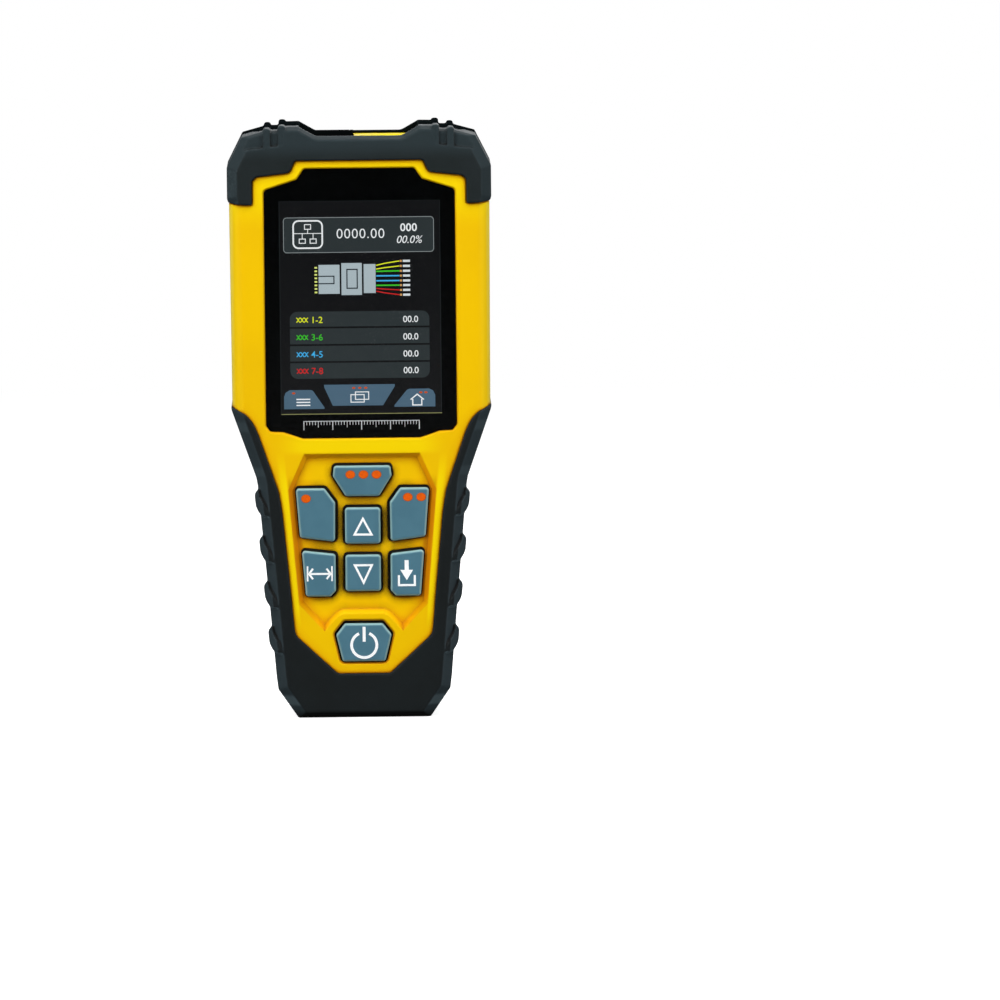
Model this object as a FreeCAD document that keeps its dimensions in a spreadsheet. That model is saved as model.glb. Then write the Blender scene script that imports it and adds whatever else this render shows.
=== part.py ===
import FreeCAD, Part
import math
import os
import sys

import Sketcher
from FreeCAD import Placement, Rotation
from FreeCAD import Vector as V

# Hand-held cable length meter, millimetres.
# Frame: it stands on its flat lower end. +Z runs along its length, the display looks towards -Y, +X is right.
# Origin: middle of the box's underside. Depths are written as f, the distance in front of the joint
# between the two shells, so f = -Y: +20 is the foremost rubber, -20 the rearmost.

os.makedirs("parts", exist_ok=True)
doc = FreeCAD.newDocument("cable_length_meter")
sheet = doc.addObject("Spreadsheet::Sheet", "dims")

DIMENSIONS = [
    ("rubber_face", 20.0, "foremost and rearmost rubber, from the joint between the shells"),
    ("shell_face", 19.0, "outer face of the yellow shells"),
    ("core_face", 17.8, "shell face under the rubber"),
    ("core_step", 15.8, "where the shell's edge bevel under the rubber begins"),
    ("rubber_step", 16.6, "where the rubber's outer bevel begins"),
    ("cavity_face", 15.9, "inner face of the shells' broad walls"),
    ("bevel", 3.4, "width of the rubber's outer bevel"),
    ("shell_round", 4.5, "round on the long yellow edges"),
    ("ledge_face", 17.1, "ledge that the window rests on"),
    ("gasket_thick", 0.2, "window gasket"),
    ("lens_thick", 1.2, "window"),
    ("basin_depth", 2.0, "keypad basin below the shell face"),
    ("key_top", 18.9, "top of the keys in the basin"),
    ("power_top", 19.6, "top of the power key"),
    ("key_bottom", 16.7, "underside of the key caps"),
    ("stem_end", 14.4, "inner end of the key stems"),
    ("stem_radius", 2.0, "key stem"),
    ("key_edge", 0.95, "round along the key tops"),
    ("mat_front", 15.9, "front of the keypad mat"),
    ("mat_back", 14.7, "back of the keypad mat"),
    ("mat_hole", 2.6, "hole in the mat round a stem"),
    ("board_front", 11.0, "component side of the main board, towards the display"),
    ("board_back", 9.4, "back of the main board"),
    ("post_radius", 2.4, "board posts"),
    ("post_bore", 1.0, "bore in the board posts"),
    ("column_radius", 3.4, "case screw columns"),
    ("column_bore", 1.3, "thread bore in the front columns"),
    ("column_clear", 1.7, "clearance bore in the rear columns"),
    ("screw_radius", 1.25, "case screw shank"),
    ("screw_head", 2.75, "case screw head"),
    ("top_wall", 193.2, "outer face of the shells' end wall between the lips"),
    ("top_inner", 190.6, "inner face of that wall"),
    ("coax_x", 10.4, "axis of the coaxial jack"),
    ("coax_f", 1.5, "axis of the coaxial jack, in front of the joint"),
    ("barrel_radius", 4.85, "outside of the bayonet barrel"),
    ("barrel_bore", 4.05, "inside of the bayonet barrel"),
    ("barrel_top", 192.6, "mouth of the bayonet barrel"),
    ("well_inner", 9.0, "well round the coaxial jack"),
    ("well_outer", 10.3, "outside of the well cup"),
    ("well_floor", 180.2, "floor of the well"),
    ("socket_x", -10.2, "middle of the modular socket"),
    ("cell_radius", 7.1, "battery cell"),
    ("cell_pitch", 15.2, "distance between cell axes"),
    ("cell_length", 49.0, "battery cell without its nub"),
    ("door_face", 19.0, "outer face of the battery door"),
    ("door_inner", 16.6, "inner face of the battery door"),
    ("hinge_z", 95.6, "battery door hinge"),
    ("hinge_f", 17.6, "battery door hinge, behind the joint"),
    ("trunnion", 0.9, "battery door trunnions"),
    ("trunnion_hole", 0.96, "holes they turn in"),
]
for row, (alias, value, why) in enumerate(DIMENSIONS, start=1):
    sheet.set("A%d" % row, alias)
    sheet.set("B%d" % row, str(value))
    sheet.set("C%d" % row, why)
    sheet.setAlias("B%d" % row, alias)
doc.recompute()


class Size:
    """A number together with the spreadsheet expression that gives it."""

    def __init__(self, value, text):
        self.value, self.text = float(value), text

    def __add__(self, other):
        other = size(other)
        return Size(self.value + other.value, "(%s + %s)" % (self.text, other.text))

    def __sub__(self, other):
        other = size(other)
        return Size(self.value - other.value, "(%s - %s)" % (self.text, other.text))

    def __neg__(self):
        return Size(-self.value, "(0 - %s)" % self.text)

    def __mul__(self, other):
        other = size(other)
        return Size(self.value * other.value, "(%s * %s)" % (self.text, other.text))


def size(x):
    return x if isinstance(x, Size) else Size(x, "%.6g" % x if x >= 0 else "(0 - %.6g)" % -x)


def dim(alias):
    return Size(float(sheet.get(alias)), "dims." + alias)


def bind(obj, prop, value):
    if isinstance(value, Size) and "dims." in value.text:
        obj.setExpression(prop, value.text)
    else:
        setattr_path(obj, prop, size(value).value)


def setattr_path(obj, prop, number):
    if prop == "AttachmentOffset.Base.z":
        obj.AttachmentOffset = Placement(V(0, 0, number), Rotation())
    else:
        setattr(obj, prop, number)


pieces = []


def mirrored(points):
    """Closed outline, left-right symmetric, from its right half, given from the lower middle round to the upper middle."""
    left = [(-x, z) for x, z in reversed(points) if abs(x) > 1e-9]
    return list(points) + left


def flipped(points):
    return [(-x, z) for x, z in reversed(points)]


def inset(points, distance):
    """Outline moved inwards by one distance, or by a list with one distance for each edge (edge i leaves point i)."""
    n = len(points)
    area = sum(points[i][0] * points[(i + 1) % n][1] - points[(i + 1) % n][0] * points[i][1] for i in range(n))
    turn = 1.0 if area > 0 else -1.0
    d = distance if isinstance(distance, (list, tuple)) else [distance] * n
    lines = []
    for i in range(n):
        (x0, z0), (x1, z1) = points[i], points[(i + 1) % n]
        length = math.hypot(x1 - x0, z1 - z0)
        ux, uz = (x1 - x0) / length, (z1 - z0) / length
        nx, nz = -uz * turn, ux * turn
        lines.append((x0 + nx * d[i], z0 + nz * d[i], ux, uz))
    out = []
    for i in range(n):
        x0, z0, ux, uz = lines[i - 1]
        x1, z1, vx, vz = lines[i]
        cross = ux * vz - uz * vx
        if abs(cross) < 1e-6:
            out.append((x1, z1))
            continue
        k = ((x1 - x0) * vz - (z1 - z0) * vx) / cross
        out.append((x0 + ux * k, z0 + uz * k))
    return out


def shifted(points, dx, dz):
    return [(x + dx, z + dz) for x, z in points]


def segments(points, radius=0.0):
    """Lines, and with a radius tangent arcs in the corners, that close an outline."""
    n = len(points)
    radii = radius if isinstance(radius, (list, tuple)) else [radius] * n
    if not any(radii):
        return [Part.LineSegment(V(*points[i], 0), V(*points[(i + 1) % n], 0)) for i in range(n)]
    starts, ends, arcs = [], [], []
    for i in range(n):
        p = V(*points[i], 0)
        a = V(*points[i - 1], 0) - p
        b = V(*points[(i + 1) % n], 0) - p
        la, lb = a.Length, b.Length
        a.normalize()
        b.normalize()
        half = a.getAngle(b) / 2
        r = radii[i]
        if r <= 0 or abs(half - math.pi / 2) < 1e-3:
            starts.append(p)
            ends.append(p)
            arcs.append(None)
            continue
        t = min(r / math.tan(half), 0.45 * la, 0.45 * lb)
        r = t * math.tan(half)
        bis = a + b
        bis.normalize()
        c = p + bis * (r / math.sin(half))
        s, e = p + a * t, p + b * t
        starts.append(s)
        ends.append(e)
        arcs.append(Part.Arc(s, c - bis * r, e))
    out = []
    for i in range(n):
        if arcs[i] is not None:
            out.append(arcs[i])
        j = (i + 1) % n
        if (starts[j] - ends[i]).Length > 1e-6:
            out.append(Part.LineSegment(ends[i], starts[j]))
    return out


class Piece:
    """One sub-part made as a PartDesign body."""

    def __init__(self, label, compound=False):
        self.body = doc.addObject("PartDesign::Body", label)
        self.body.Label = label
        if compound:
            self.body.AllowCompound = True
        self.planes = {f.Role: f for f in self.body.Origin.OriginFeatures}
        self.label = label
        self.count = 0
        pieces.append(self.body)

    def name(self, kind):
        self.count += 1
        return "%s_%s%d" % (self.label, kind, self.count)

    def sketch(self, at=0.0, plane="XZ_Plane"):
        """Sketch on a plane of the body. On XZ_Plane its x, y are the object's X, Z and at is f."""
        sk = self.body.newObject("Sketcher::SketchObject", self.name("sketch"))
        sk.AttachmentSupport = [(self.planes[plane], "")]
        sk.MapMode = "FlatFace"
        bind(sk, "AttachmentOffset.Base.z", at)
        return sk

    def outline(self, loops, at=0.0, plane="XZ_Plane"):
        sk = self.sketch(at, plane)
        for loop in loops:
            sk.addGeometry(loop, False)
        return sk

    def discs(self, centres, radius, at=0.0, plane="XZ_Plane"):
        """Sketch of equal circles whose radius follows the sheet."""
        sk = self.sketch(at, plane)
        r = size(radius)
        for x, y in centres:
            i = sk.addGeometry(Part.Circle(V(size(x).value, size(y).value, 0), V(0, 0, 1), r.value), False)
            for kind, q in (("DistanceX", x), ("DistanceY", y)):
                value = size(q).value
                if abs(value) > 1e-9:
                    c = sk.addConstraint(Sketcher.Constraint(kind, i, 3, value))
                    if isinstance(q, Size) and "dims." in q.text and value > 0:
                        sk.setExpression("Constraints[%d]" % c, q.text)
            c = sk.addConstraint(Sketcher.Constraint("Radius", i, r.value))
            if "dims." in r.text:
                sk.setExpression("Constraints[%d]" % c, r.text)
        return sk

    def add(self, sk, start, end):
        """Pad from start to end along the sketch's normal."""
        start, end = size(start), size(end)
        pad = self.body.newObject("PartDesign::Pad", self.name("pad"))
        pad.Profile = sk
        pad.Reversed = end.value < start.value
        span = (end - start) if end.value > start.value else (start - end)
        bind(pad, "Length", span)
        return self.done(pad, 1)

    def lean(self, sk, way):
        """Pad along a direction that leans away from the sketch's normal."""
        pad = self.body.newObject("PartDesign::Pad", self.name("pad"))
        pad.Profile = sk
        pad.UseCustomVector = True
        pad.Direction = way
        pad.AlongSketchNormal = False
        pad.Length = way.Length
        return self.done(pad, 1)

    def remove(self, sk, start, end):
        """Pocket from start to end along the sketch's normal."""
        start, end = size(start), size(end)
        pocket = self.body.newObject("PartDesign::Pocket", self.name("pocket"))
        pocket.Profile = sk
        pocket.Reversed = end.value > start.value
        span = (end - start) if end.value > start.value else (start - end)
        bind(pocket, "Length", span)
        return self.done(pocket, -1)

    def loft(self, a, b, sign):
        kind = "PartDesign::AdditiveLoft" if sign > 0 else "PartDesign::SubtractiveLoft"
        feature = self.body.newObject(kind, self.name("loft"))
        feature.Profile = a
        feature.Sections = [b]
        feature.Ruled = True
        return self.done(feature, sign)

    def revolve(self, sk, cut=False):
        kind = "PartDesign::Groove" if cut else "PartDesign::Revolution"
        feature = self.body.newObject(kind, self.name("turn"))
        feature.Profile = sk
        feature.ReferenceAxis = (sk, ["V_Axis"])
        feature.Angle = 360.0
        return self.done(feature, -1 if cut else 1)

    def edges(self, test):
        shape = self.body.Tip.Shape
        return ["Edge%d" % (i + 1) for i, e in enumerate(shape.Edges) if test(e)]

    def fillet(self, test, radius):
        doc.recompute()
        names = self.edges(test)
        if not names:
            raise RuntimeError("%s: no edge to round" % self.label)
        tip = self.body.Tip
        feature = self.body.newObject("PartDesign::Fillet", self.name("round"))
        feature.Base = (tip, names)
        bind(feature, "Radius", radius)
        return self.done(feature, -1)

    def chamfer(self, test, width):
        doc.recompute()
        names = self.edges(test)
        if not names:
            raise RuntimeError("%s: no edge to bevel" % self.label)
        tip = self.body.Tip
        feature = self.body.newObject("PartDesign::Chamfer", self.name("bevel"))
        feature.Base = (tip, names)
        bind(feature, "Size", width)
        return self.done(feature, -1)

    def done(self, feature, sign):
        doc.recompute()
        if "Invalid" in feature.State or "Error" in feature.State or feature.Shape.isNull():
            raise RuntimeError("%s failed: %s" % (feature.Name, feature.State))
        base = feature.BaseFeature
        before = base.Shape.Volume if base is not None else 0.0
        change = feature.Shape.Volume - before
        if abs(change) < 1e-6:
            raise RuntimeError("%s changed nothing" % feature.Name)
        if feature.TypeId.split("::")[1] in ("Pad", "Pocket") and change * sign < 0:
            raise RuntimeError("%s went the wrong way" % feature.Name)
        return feature


def box_outline(x0, x1, z0, z1):
    return [(x0, z0), (x1, z0), (x1, z1), (x0, z1)]


def on_plane(edge, f):
    """The edge lies wholly at depth f."""
    b = edge.BoundBox
    return abs(b.YMin + f) < 1e-3 and abs(b.YMax + f) < 1e-3


# ---------------------------------------------------------------- outlines in the front view (right halves)
# Whole silhouette, without the grip's ribs and the guard's fins
GRIP_EDGE = [(22.05, 0.0), (28.7, 9.6), (29.25, 14.0), (31.1, 36.0), (34.8, 78.0), (35.25, 80.6), (43.1, 102.9)]
GUARD_EDGE = [(43.5, 172.4), (43.9, 173.6), (43.9, 184.0), (38.85, 194.0), (33.0, 195.6), (31.0, 196.15),
              (25.7, 196.25), (25.4, 197.35), (20.0, 197.45), (14.8, 194.5), (13.8, 194.2)]
# The shells' outline under the rubber
CORE = [(0, 2.2), (20.4, 2.2), (26.5, 10.8), (27.0, 14.2), (28.9, 36.2), (32.6, 78.3), (33.1, 81.4), (40.9, 103.5),
        (41.1, 106.0), (41.1, 171.0), (41.85, 173.7), (41.85, 184.0), (40.6, 187.2), (38.0, 191.2), (34.9, 192.9),
        (32.5, 193.8), (25.0, 194.0), (22.8, 193.2), (0, 193.2)]
CAVITY = [(0, 4.6), (19.2, 4.6), (24.3, 11.6), (24.8, 14.6), (26.7, 36.5), (30.4, 78.7), (30.9, 82.0), (38.4, 103.6),
          (40.5, 107.0), (40.5, 169.0), (39.5, 172.0), (39.5, 183.4), (38.4, 186.4), (36.4, 189.4), (34.0, 190.6), (0, 190.6)]
# Where the yellow ends and the rubber begins, seen from the front
FACE_FRONT = [(0, 15.0), (8.3, 15.0), (9.1, 15.3), (21.9, 27.2), (22.6, 28.2), (23.0, 29.7), (26.7, 68.5), (27.3, 72.5),
              (27.9, 76.0), (32.5, 89.8), (34.4, 95.2), (35.5, 97.8), (36.8, 100.0), (38.6, 101.9), (43.0, 104.4), (50.0, 104.4),
              (50.0, 172.4), (43.4, 172.4), (41.4, 171.95), (36.0, 171.6), (35.65, 171.95), (35.65, 179.6), (34.3, 181.0),
              (23.4, 182.25), (22.6, 183.3), (21.4, 186.3), (0, 186.3)]
# The same on the back, where the battery door needs the room
FACE_REAR = [(0, 25.4), (21.4, 25.4), (24.0, 26.2), (26.4, 29.7), (27.3, 68.5), (27.9, 76.0), (32.5, 89.8), (34.4, 95.2),
             (35.5, 97.8), (36.8, 100.0), (38.6, 101.9), (43.0, 104.4), (50.0, 104.4),
             (50.0, 172.4), (43.4, 172.4), (41.4, 171.95), (36.0, 171.6), (35.65, 171.95), (35.65, 179.6), (34.3, 181.0),
             (23.4, 182.25), (22.6, 183.3), (21.4, 186.3), (0, 186.3)]
# Yellow slab before the rubber areas are taken out of it
SLAB = [(0, 14.0), (26.0, 14.0), (42.9, 96.0), (43.35, 187.0), (0, 187.0)]
WINDOW = [(0, 93.7), (19.5, 93.7), (26.0, 95.9), (30.3, 96.1), (31.7, 98.0), (31.7, 176.35), (20.8, 179.8),
          (18.3, 183.45), (0, 183.45)]
BASIN = [(0, 35.0), (6.7, 35.0), (8.4, 34.1), (13.1, 29.1), (21.4, 38.2), (24.7, 76.5), (19.3, 88.5), (0, 88.5)]

# Key caps, seen from the front, and how far their openings stand off on the side that faces the middle of the case
KEYS = {
    "key_menu_center": ([(-5.55, 74.2), (5.55, 74.2), (9.8, 81.0), (9.4, 84.4), (-9.4, 84.4), (-9.8, 81.0)], 0.0, 0.25, (0.0, 80.0)),
    "key_menu_left": ([(-20.9, 60.5), (-9.25, 59.0), (-9.1, 72.1), (-12.6, 76.9), (-22.2, 76.9)], 0.25, 0.25, (-15.2, 67.6)),
    "key_menu_right": ([(9.25, 59.0), (20.9, 60.5), (22.2, 76.9), (12.6, 76.9), (9.1, 72.1)], -0.25, 0.25, (15.2, 67.6)),
    "key_up": ([(-5.9, 58.3), (5.9, 58.3), (5.9, 70.4), (-5.9, 70.4)], 0.0, 0.25, (0.0, 64.3)),
    "key_down": ([(-5.9, 42.4), (5.9, 42.4), (5.9, 54.6), (-5.9, 54.6)], 0.0, 0.25, (0.0, 48.5)),
    "key_measure": ([(-19.1, 40.7), (-10.9, 40.7), (-9.15, 42.6), (-9.15, 54.9), (-20.4, 56.2)], 0.25, 0.25, (-14.4, 48.2)),
    "key_save": ([(10.9, 40.7), (19.1, 40.7), (20.4, 56.2), (9.15, 54.9), (9.15, 42.6)], -0.25, 0.25, (14.4, 48.2)),
    "key_power": ([(-7.1, 18.95), (7.1, 18.95), (9.25, 27.9), (6.3, 31.65), (-6.3, 31.65), (-9.25, 27.9)], 0.0, 0.3, (0.0, 25.2)),
}
KEY_GAP = 0.62
STEMS = [v[3] for v in KEYS.values()]

BOARD_POSTS = [(-36.0, 118.0), (36.0, 118.0), (-36.0, 163.0), (36.0, 163.0), (-19.3, 16.6), (19.3, 16.6)]
COLUMNS = [(-36.2, 174.5), (36.2, 174.5), (-36.2, 108.0), (36.2, 108.0), (-14.5, 8.8), (14.5, 8.8)]


def shell_side(piece, s, face):
    """Outer form of a shell: a yellow slab with round long edges, the core under the rubber, and the hollow inside.
    s is +1 for the front shell and -1 for the rear one."""
    far = dim("shell_face") * s
    piece.add(piece.outline([segments(mirrored(SLAB))]), 0.0, far)
    # long outer edges of the slab, between its two wide ends
    def long_edge(e):
        b = e.BoundBox
        return (on_plane(e, 19.0 * s) and b.ZLength > 60 and b.ZMin > 90 and min(abs(b.XMin), abs(b.XMax)) > 40)

    piece.fillet(long_edge, dim("shell_round"))
    # the rubber areas: everything outside the yellow field
    outer = [(-60, -10), (60, -10), (60, 210), (-60, 210)]
    low, high = [], []
    half = len(face)
    split = [i for i, p in enumerate(face) if p[0] == 50.0]
    lower = face[: split[0] + 1]
    upper = face[split[1]:]
    soft = lambda points: [1.3 if abs(x) < 43.0 and z < 190 and not (abs(x) < 1e-6) else 0.0 for x, z in points]
    below = [(-60.0, 104.4), (-60.0, -10.0), (60.0, -10.0), (60.0, 104.4)] + [(x, z) for x, z in reversed(lower[1:-1])] + [(-x, z) for x, z in lower[1:-1]]
    above = [(60.0, 172.4), (60.0, 210.0), (-60.0, 210.0), (-60.0, 172.4)] + [(-x, z) for x, z in upper[1:-1]] + [(x, z) for x, z in reversed(upper[1:-1])]
    piece.remove(piece.outline([segments(below, soft(below))], 25.0 * s), 25.0 * s, 0.0)
    piece.remove(piece.outline([segments(above, soft(above))], 25.0 * s), 25.0 * s, 0.0)
    # core under the rubber, with a bevelled front edge
    core = mirrored(CORE)
    piece.add(piece.outline([segments(core)]), 0.0, dim("core_step") * s)
    bevel = inset(core, 2.0)
    piece.loft(piece.outline([segments(core)], dim("core_step") * s), piece.outline([segments(bevel)], dim("core_face") * s), 1)
    # hollow
    piece.remove(piece.outline([segments(mirrored(CAVITY))]), 0.0, dim("cavity_face") * s)


def end_openings(piece, s):
    """The shells' end wall is cut for the coaxial well and for the frame of the modular socket."""
    if s > 0:
        side = [(-18.8, 0.0), (-1.6, 0.0), (-1.6, 11.4), (-18.8, 11.4)]
    else:
        side = [(-18.8, -9.8), (-1.6, -9.8), (-1.6, 0.0), (-18.8, 0.0)]
    # on XY_Plane a sketch's y is +Y, so f changes sign
    sk = piece.outline([segments([(x, -f) for x, f in side])], 188.0, "XY_Plane")
    piece.remove(sk, 188.0, 196.0)
    sk = piece.discs([(dim("coax_x"), -dim("coax_f").value)], dim("well_outer") + 0.05, 186.0, "XY_Plane")
    piece.remove(sk, 186.0, 196.0)


# ---------------------------------------------------------------- front shell
p = Piece("front_housing")
shell_side(p, 1, FACE_FRONT)
# window: seat for the lens, and the opening behind it
window = mirrored(WINDOW)
p.remove(p.outline([segments(inset(window, -0.1), 1.4)], 21.0), 21.0, dim("ledge_face"))
p.remove(p.outline([segments(box_outline(-28.0, 28.0, 100.3, 174.2), 1.0)], 21.0), 21.0, 14.0)
# keypad basin with sloping sides
basin = mirrored(BASIN)
n_basin = len(basin)
basin_floor = inset(basin, 1.5)
p.loft(
    p.outline([segments(basin)], dim("shell_face")),
    p.outline([segments(basin_floor)], dim("shell_face") - dim("basin_depth")),
    -1,
)
# key openings
for key, (points, dx, dz, stem) in KEYS.items():
    hole = shifted(inset(points, -KEY_GAP), dx, dz)
    p.remove(p.outline([segments(hole, 1.5)], 21.0), 21.0, 14.0)
# posts for the board and columns for the case screws
p.add(p.discs(BOARD_POSTS, dim("post_radius"), dim("board_front")), dim("board_front"), dim("cavity_face") + 0.4)
p.remove(p.discs(BOARD_POSTS, dim("post_bore"), dim("board_front")), dim("board_front"), dim("board_front") + 5.0)
p.add(p.discs(COLUMNS, dim("column_radius")), 0.0, dim("cavity_face") + 0.4)
p.remove(p.discs(COLUMNS, dim("column_bore")), 0.0, 12.0)
end_openings(p, 1)
# soft edges: window rim and basin rim
def rim(e):
    c = e.CenterOfMass
    b = e.BoundBox
    return on_plane(e, 19.0) and abs(c.x) < 32.2 and 93.0 < b.ZMin and b.ZMax < 183.8


p.chamfer(rim, 0.45)
# the power key lies in a pocket of its own with leaning sides
p.chamfer(lambda e: on_plane(e, 19.0) and 17.0 < e.BoundBox.ZMin and e.BoundBox.ZMax < 33.2 and abs(e.CenterOfMass.x) < 10.6, 0.6)
front_housing = p

# ---------------------------------------------------------------- rear shell
p = Piece("rear_housing")
shell_side(p, -1, FACE_REAR)
# battery bay: a box that reaches in from the back wall
p.add(p.outline([segments(box_outline(-25.0, 25.0, 35.2, 97.8))], -0.6), -0.6, -dim("cavity_face") - 0.4)
# boss for the door screw
p.add(p.discs([(0.0, 31.2)], 3.6, -7.0), -7.0, -dim("cavity_face") - 0.4)
p.remove(p.outline([segments(box_outline(-23.6, 23.6, 37.0, 96.0), 1.0)], -21.0), -21.0, -1.8)
# recess that the door lies in, deeper along the hinge
DOOR = [(-24.2, 36.0), (-8.2, 36.0), (-6.6, 34.6), (-6.6, 29.2), (-4.8, 27.0), (4.8, 27.0), (6.6, 29.2), (6.6, 34.6), (8.2, 36.0), (24.2, 36.0),
        (24.2, 97.2), (-24.2, 97.2)]
p.remove(p.outline([segments(DOOR)], -21.0), -21.0, -16.5)
p.remove(p.outline([segments(box_outline(-24.2, 24.2, 93.4, 97.2))], -21.0), -21.0, -16.0)
p.remove(p.discs([(0.0, 31.2)], 1.65, -21.0), -21.0, -8.5)
# holes for the door's trunnions
p.remove(p.discs([(-dim("hinge_f").value * -1.0, dim("hinge_z"))], dim("trunnion_hole"), -25.9, "YZ_Plane"), -25.9, 25.9)
# recess for a label, bare
p.remove(p.outline([segments(box_outline(-30.0, 30.0, 112.0, 168.0), 3.0)], -21.0), -21.0, -18.6)
# columns and screw seats
p.add(p.discs(COLUMNS, dim("column_radius")), 0.0, -dim("cavity_face") - 0.4)
p.remove(p.discs(COLUMNS, dim("column_clear"), -21.0), -21.0, 0.0)
p.remove(p.discs(COLUMNS, dim("screw_head") + 0.3, -21.0), -21.0, -15.6)
end_openings(p, -1)
rear_housing = p

# ---------------------------------------------------------------- rubber on the shells
# middle, half width, foot and top of the fins
GUARD_FINS = [(25.55, 1.2, 190.9, 197.9), (30.5, 1.15, 190.2, 197.0)]


def half_guard(piece, s):
    """Rubber over the upper end: wraps the sides and corners, with a lip between two raised corners."""
    whole = mirrored([(0, 165.0), (43.5, 165.0)] + GUARD_EDGE + [(0, 194.2)])
    # edge i leaves point i: the sides and corners are bevelled widely, the lip's top a little, the lower end not at all
    n = len(whole)
    drop = []
    for i in range(n):
        (x0, z0), (x1, z1) = whole[i], whole[(i + 1) % n]
        if z0 < 165.5 and z1 < 165.5:
            drop.append(0.0)
        elif min(z0, z1) > 193.85:
            drop.append(1.1)
        else:
            drop.append(3.4)
    piece.add(piece.outline([segments(whole)]), 0.0, dim("rubber_step") * s)
    piece.loft(
        piece.outline([segments(whole)], dim("rubber_step") * s),
        piece.outline([segments(inset(whole, drop))], dim("rubber_face") * s),
        1,
    )
    # on each corner a shallow recess with two fins standing in it, which run over the crest
    for side in (-1, 1):
        recess = [(side * 39.5, 189.2), (side * 39.5, 199.0), (side * 25.0, 199.0), (side * 25.0, 191.4), (side * 32.6, 190.5), (side * 37.0, 190.0)]
        piece.remove(piece.outline([segments(recess)], 21.0 * s), 21.0 * s, 18.8 * s)
    fins = []
    for x, half, foot, top in GUARD_FINS:
        for side in (-1, 1):
            fin = [(x - half, foot), (x + half, foot), (x + half, top - 0.5), (x + half - 0.5, top), (x - half + 0.5, top), (x - half, top - 0.5)]
            fins.append(segments([(side * a, b) for a, b in fin]))
    piece.add(piece.outline(fins, 9.5 * s), 9.5 * s, 19.9 * s)
    # yellow field
    keep = [q for q in FACE_FRONT if q[1] > 160 and q[0] < 49]
    field = [(60.0, 160.0), (60.0, 172.4)] + keep[:-1]
    field = [(x, z) for x, z in field]
    field = mirrored([(0, 160.0)] + field + [(0, 186.3)])
    soft = [1.3 if abs(x) < 43.0 and z > 160.5 and abs(x) > 1e-6 else 0.0 for x, z in field]
    piece.remove(piece.outline([segments(field, soft)], 25.0 * s), 25.0 * s, 0.0)
    # room for the core
    core = mirrored(CORE)
    piece.remove(piece.outline([segments(core)]), 0.0, dim("core_step") * s)
    piece.loft(piece.outline([segments(core)], dim("core_step") * s), piece.outline([segments(inset(core, 2.0))], dim("core_face") * s), -1)
    # the end wall with its connectors stays open between the lips
    slot = [(-19.8, 0.0), (19.8, 0.0), (19.8, -15.0 * s), (-19.8, -15.0 * s)]
    piece.remove(piece.outline([segments(slot)], 190.0, "XY_Plane"), 190.0, 205.0)
    # saddle between the front and rear crests of each raised corner
    for side in (-1, 1):
        saddle = [(side * 19.6, 0.0), (side * 35.4, 0.0), (side * 35.4, -9.0 * s), (side * 19.6, -9.0 * s)]
        piece.remove(piece.outline([segments(saddle)], 195.0, "XY_Plane"), 195.0, 205.0)


for label, s in (("top_guard_front", 1), ("top_guard_rear", -1)):
    p = Piece(label)
    half_guard(p, s)

# top of each rib at the foremost rubber, its outline as distance outside the handle's edge and height below the rib's top,
# and how far the ribs drop from the foremost rubber to the joint, and again to the rearmost rubber
RIB_TOPS = [77.05, 61.65, 46.4, 31.25]
RIB = [(0.0, 0.0), (-0.15, -2.1), (-0.95, -4.0), (-1.9, -6.4), (-2.6, -8.5), (-2.4, -9.3), (-1.1, -9.2), (0.05, -8.7), (0.73, -7.6), (1.2, -6.5),
       (1.48, -5.4), (1.52, -2.2), (1.35, -1.4), (0.65, -0.45)]
RIB_DROP = 2.0


def edge_x(z):
    """Half width of the bare handle at a height."""
    for (xa, za), (xb, zb) in zip(GRIP_EDGE, GRIP_EDGE[1:]):
        if za <= z <= zb:
            return xa + (xb - xa) * (z - za) / (zb - za)
    return 0.0


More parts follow.
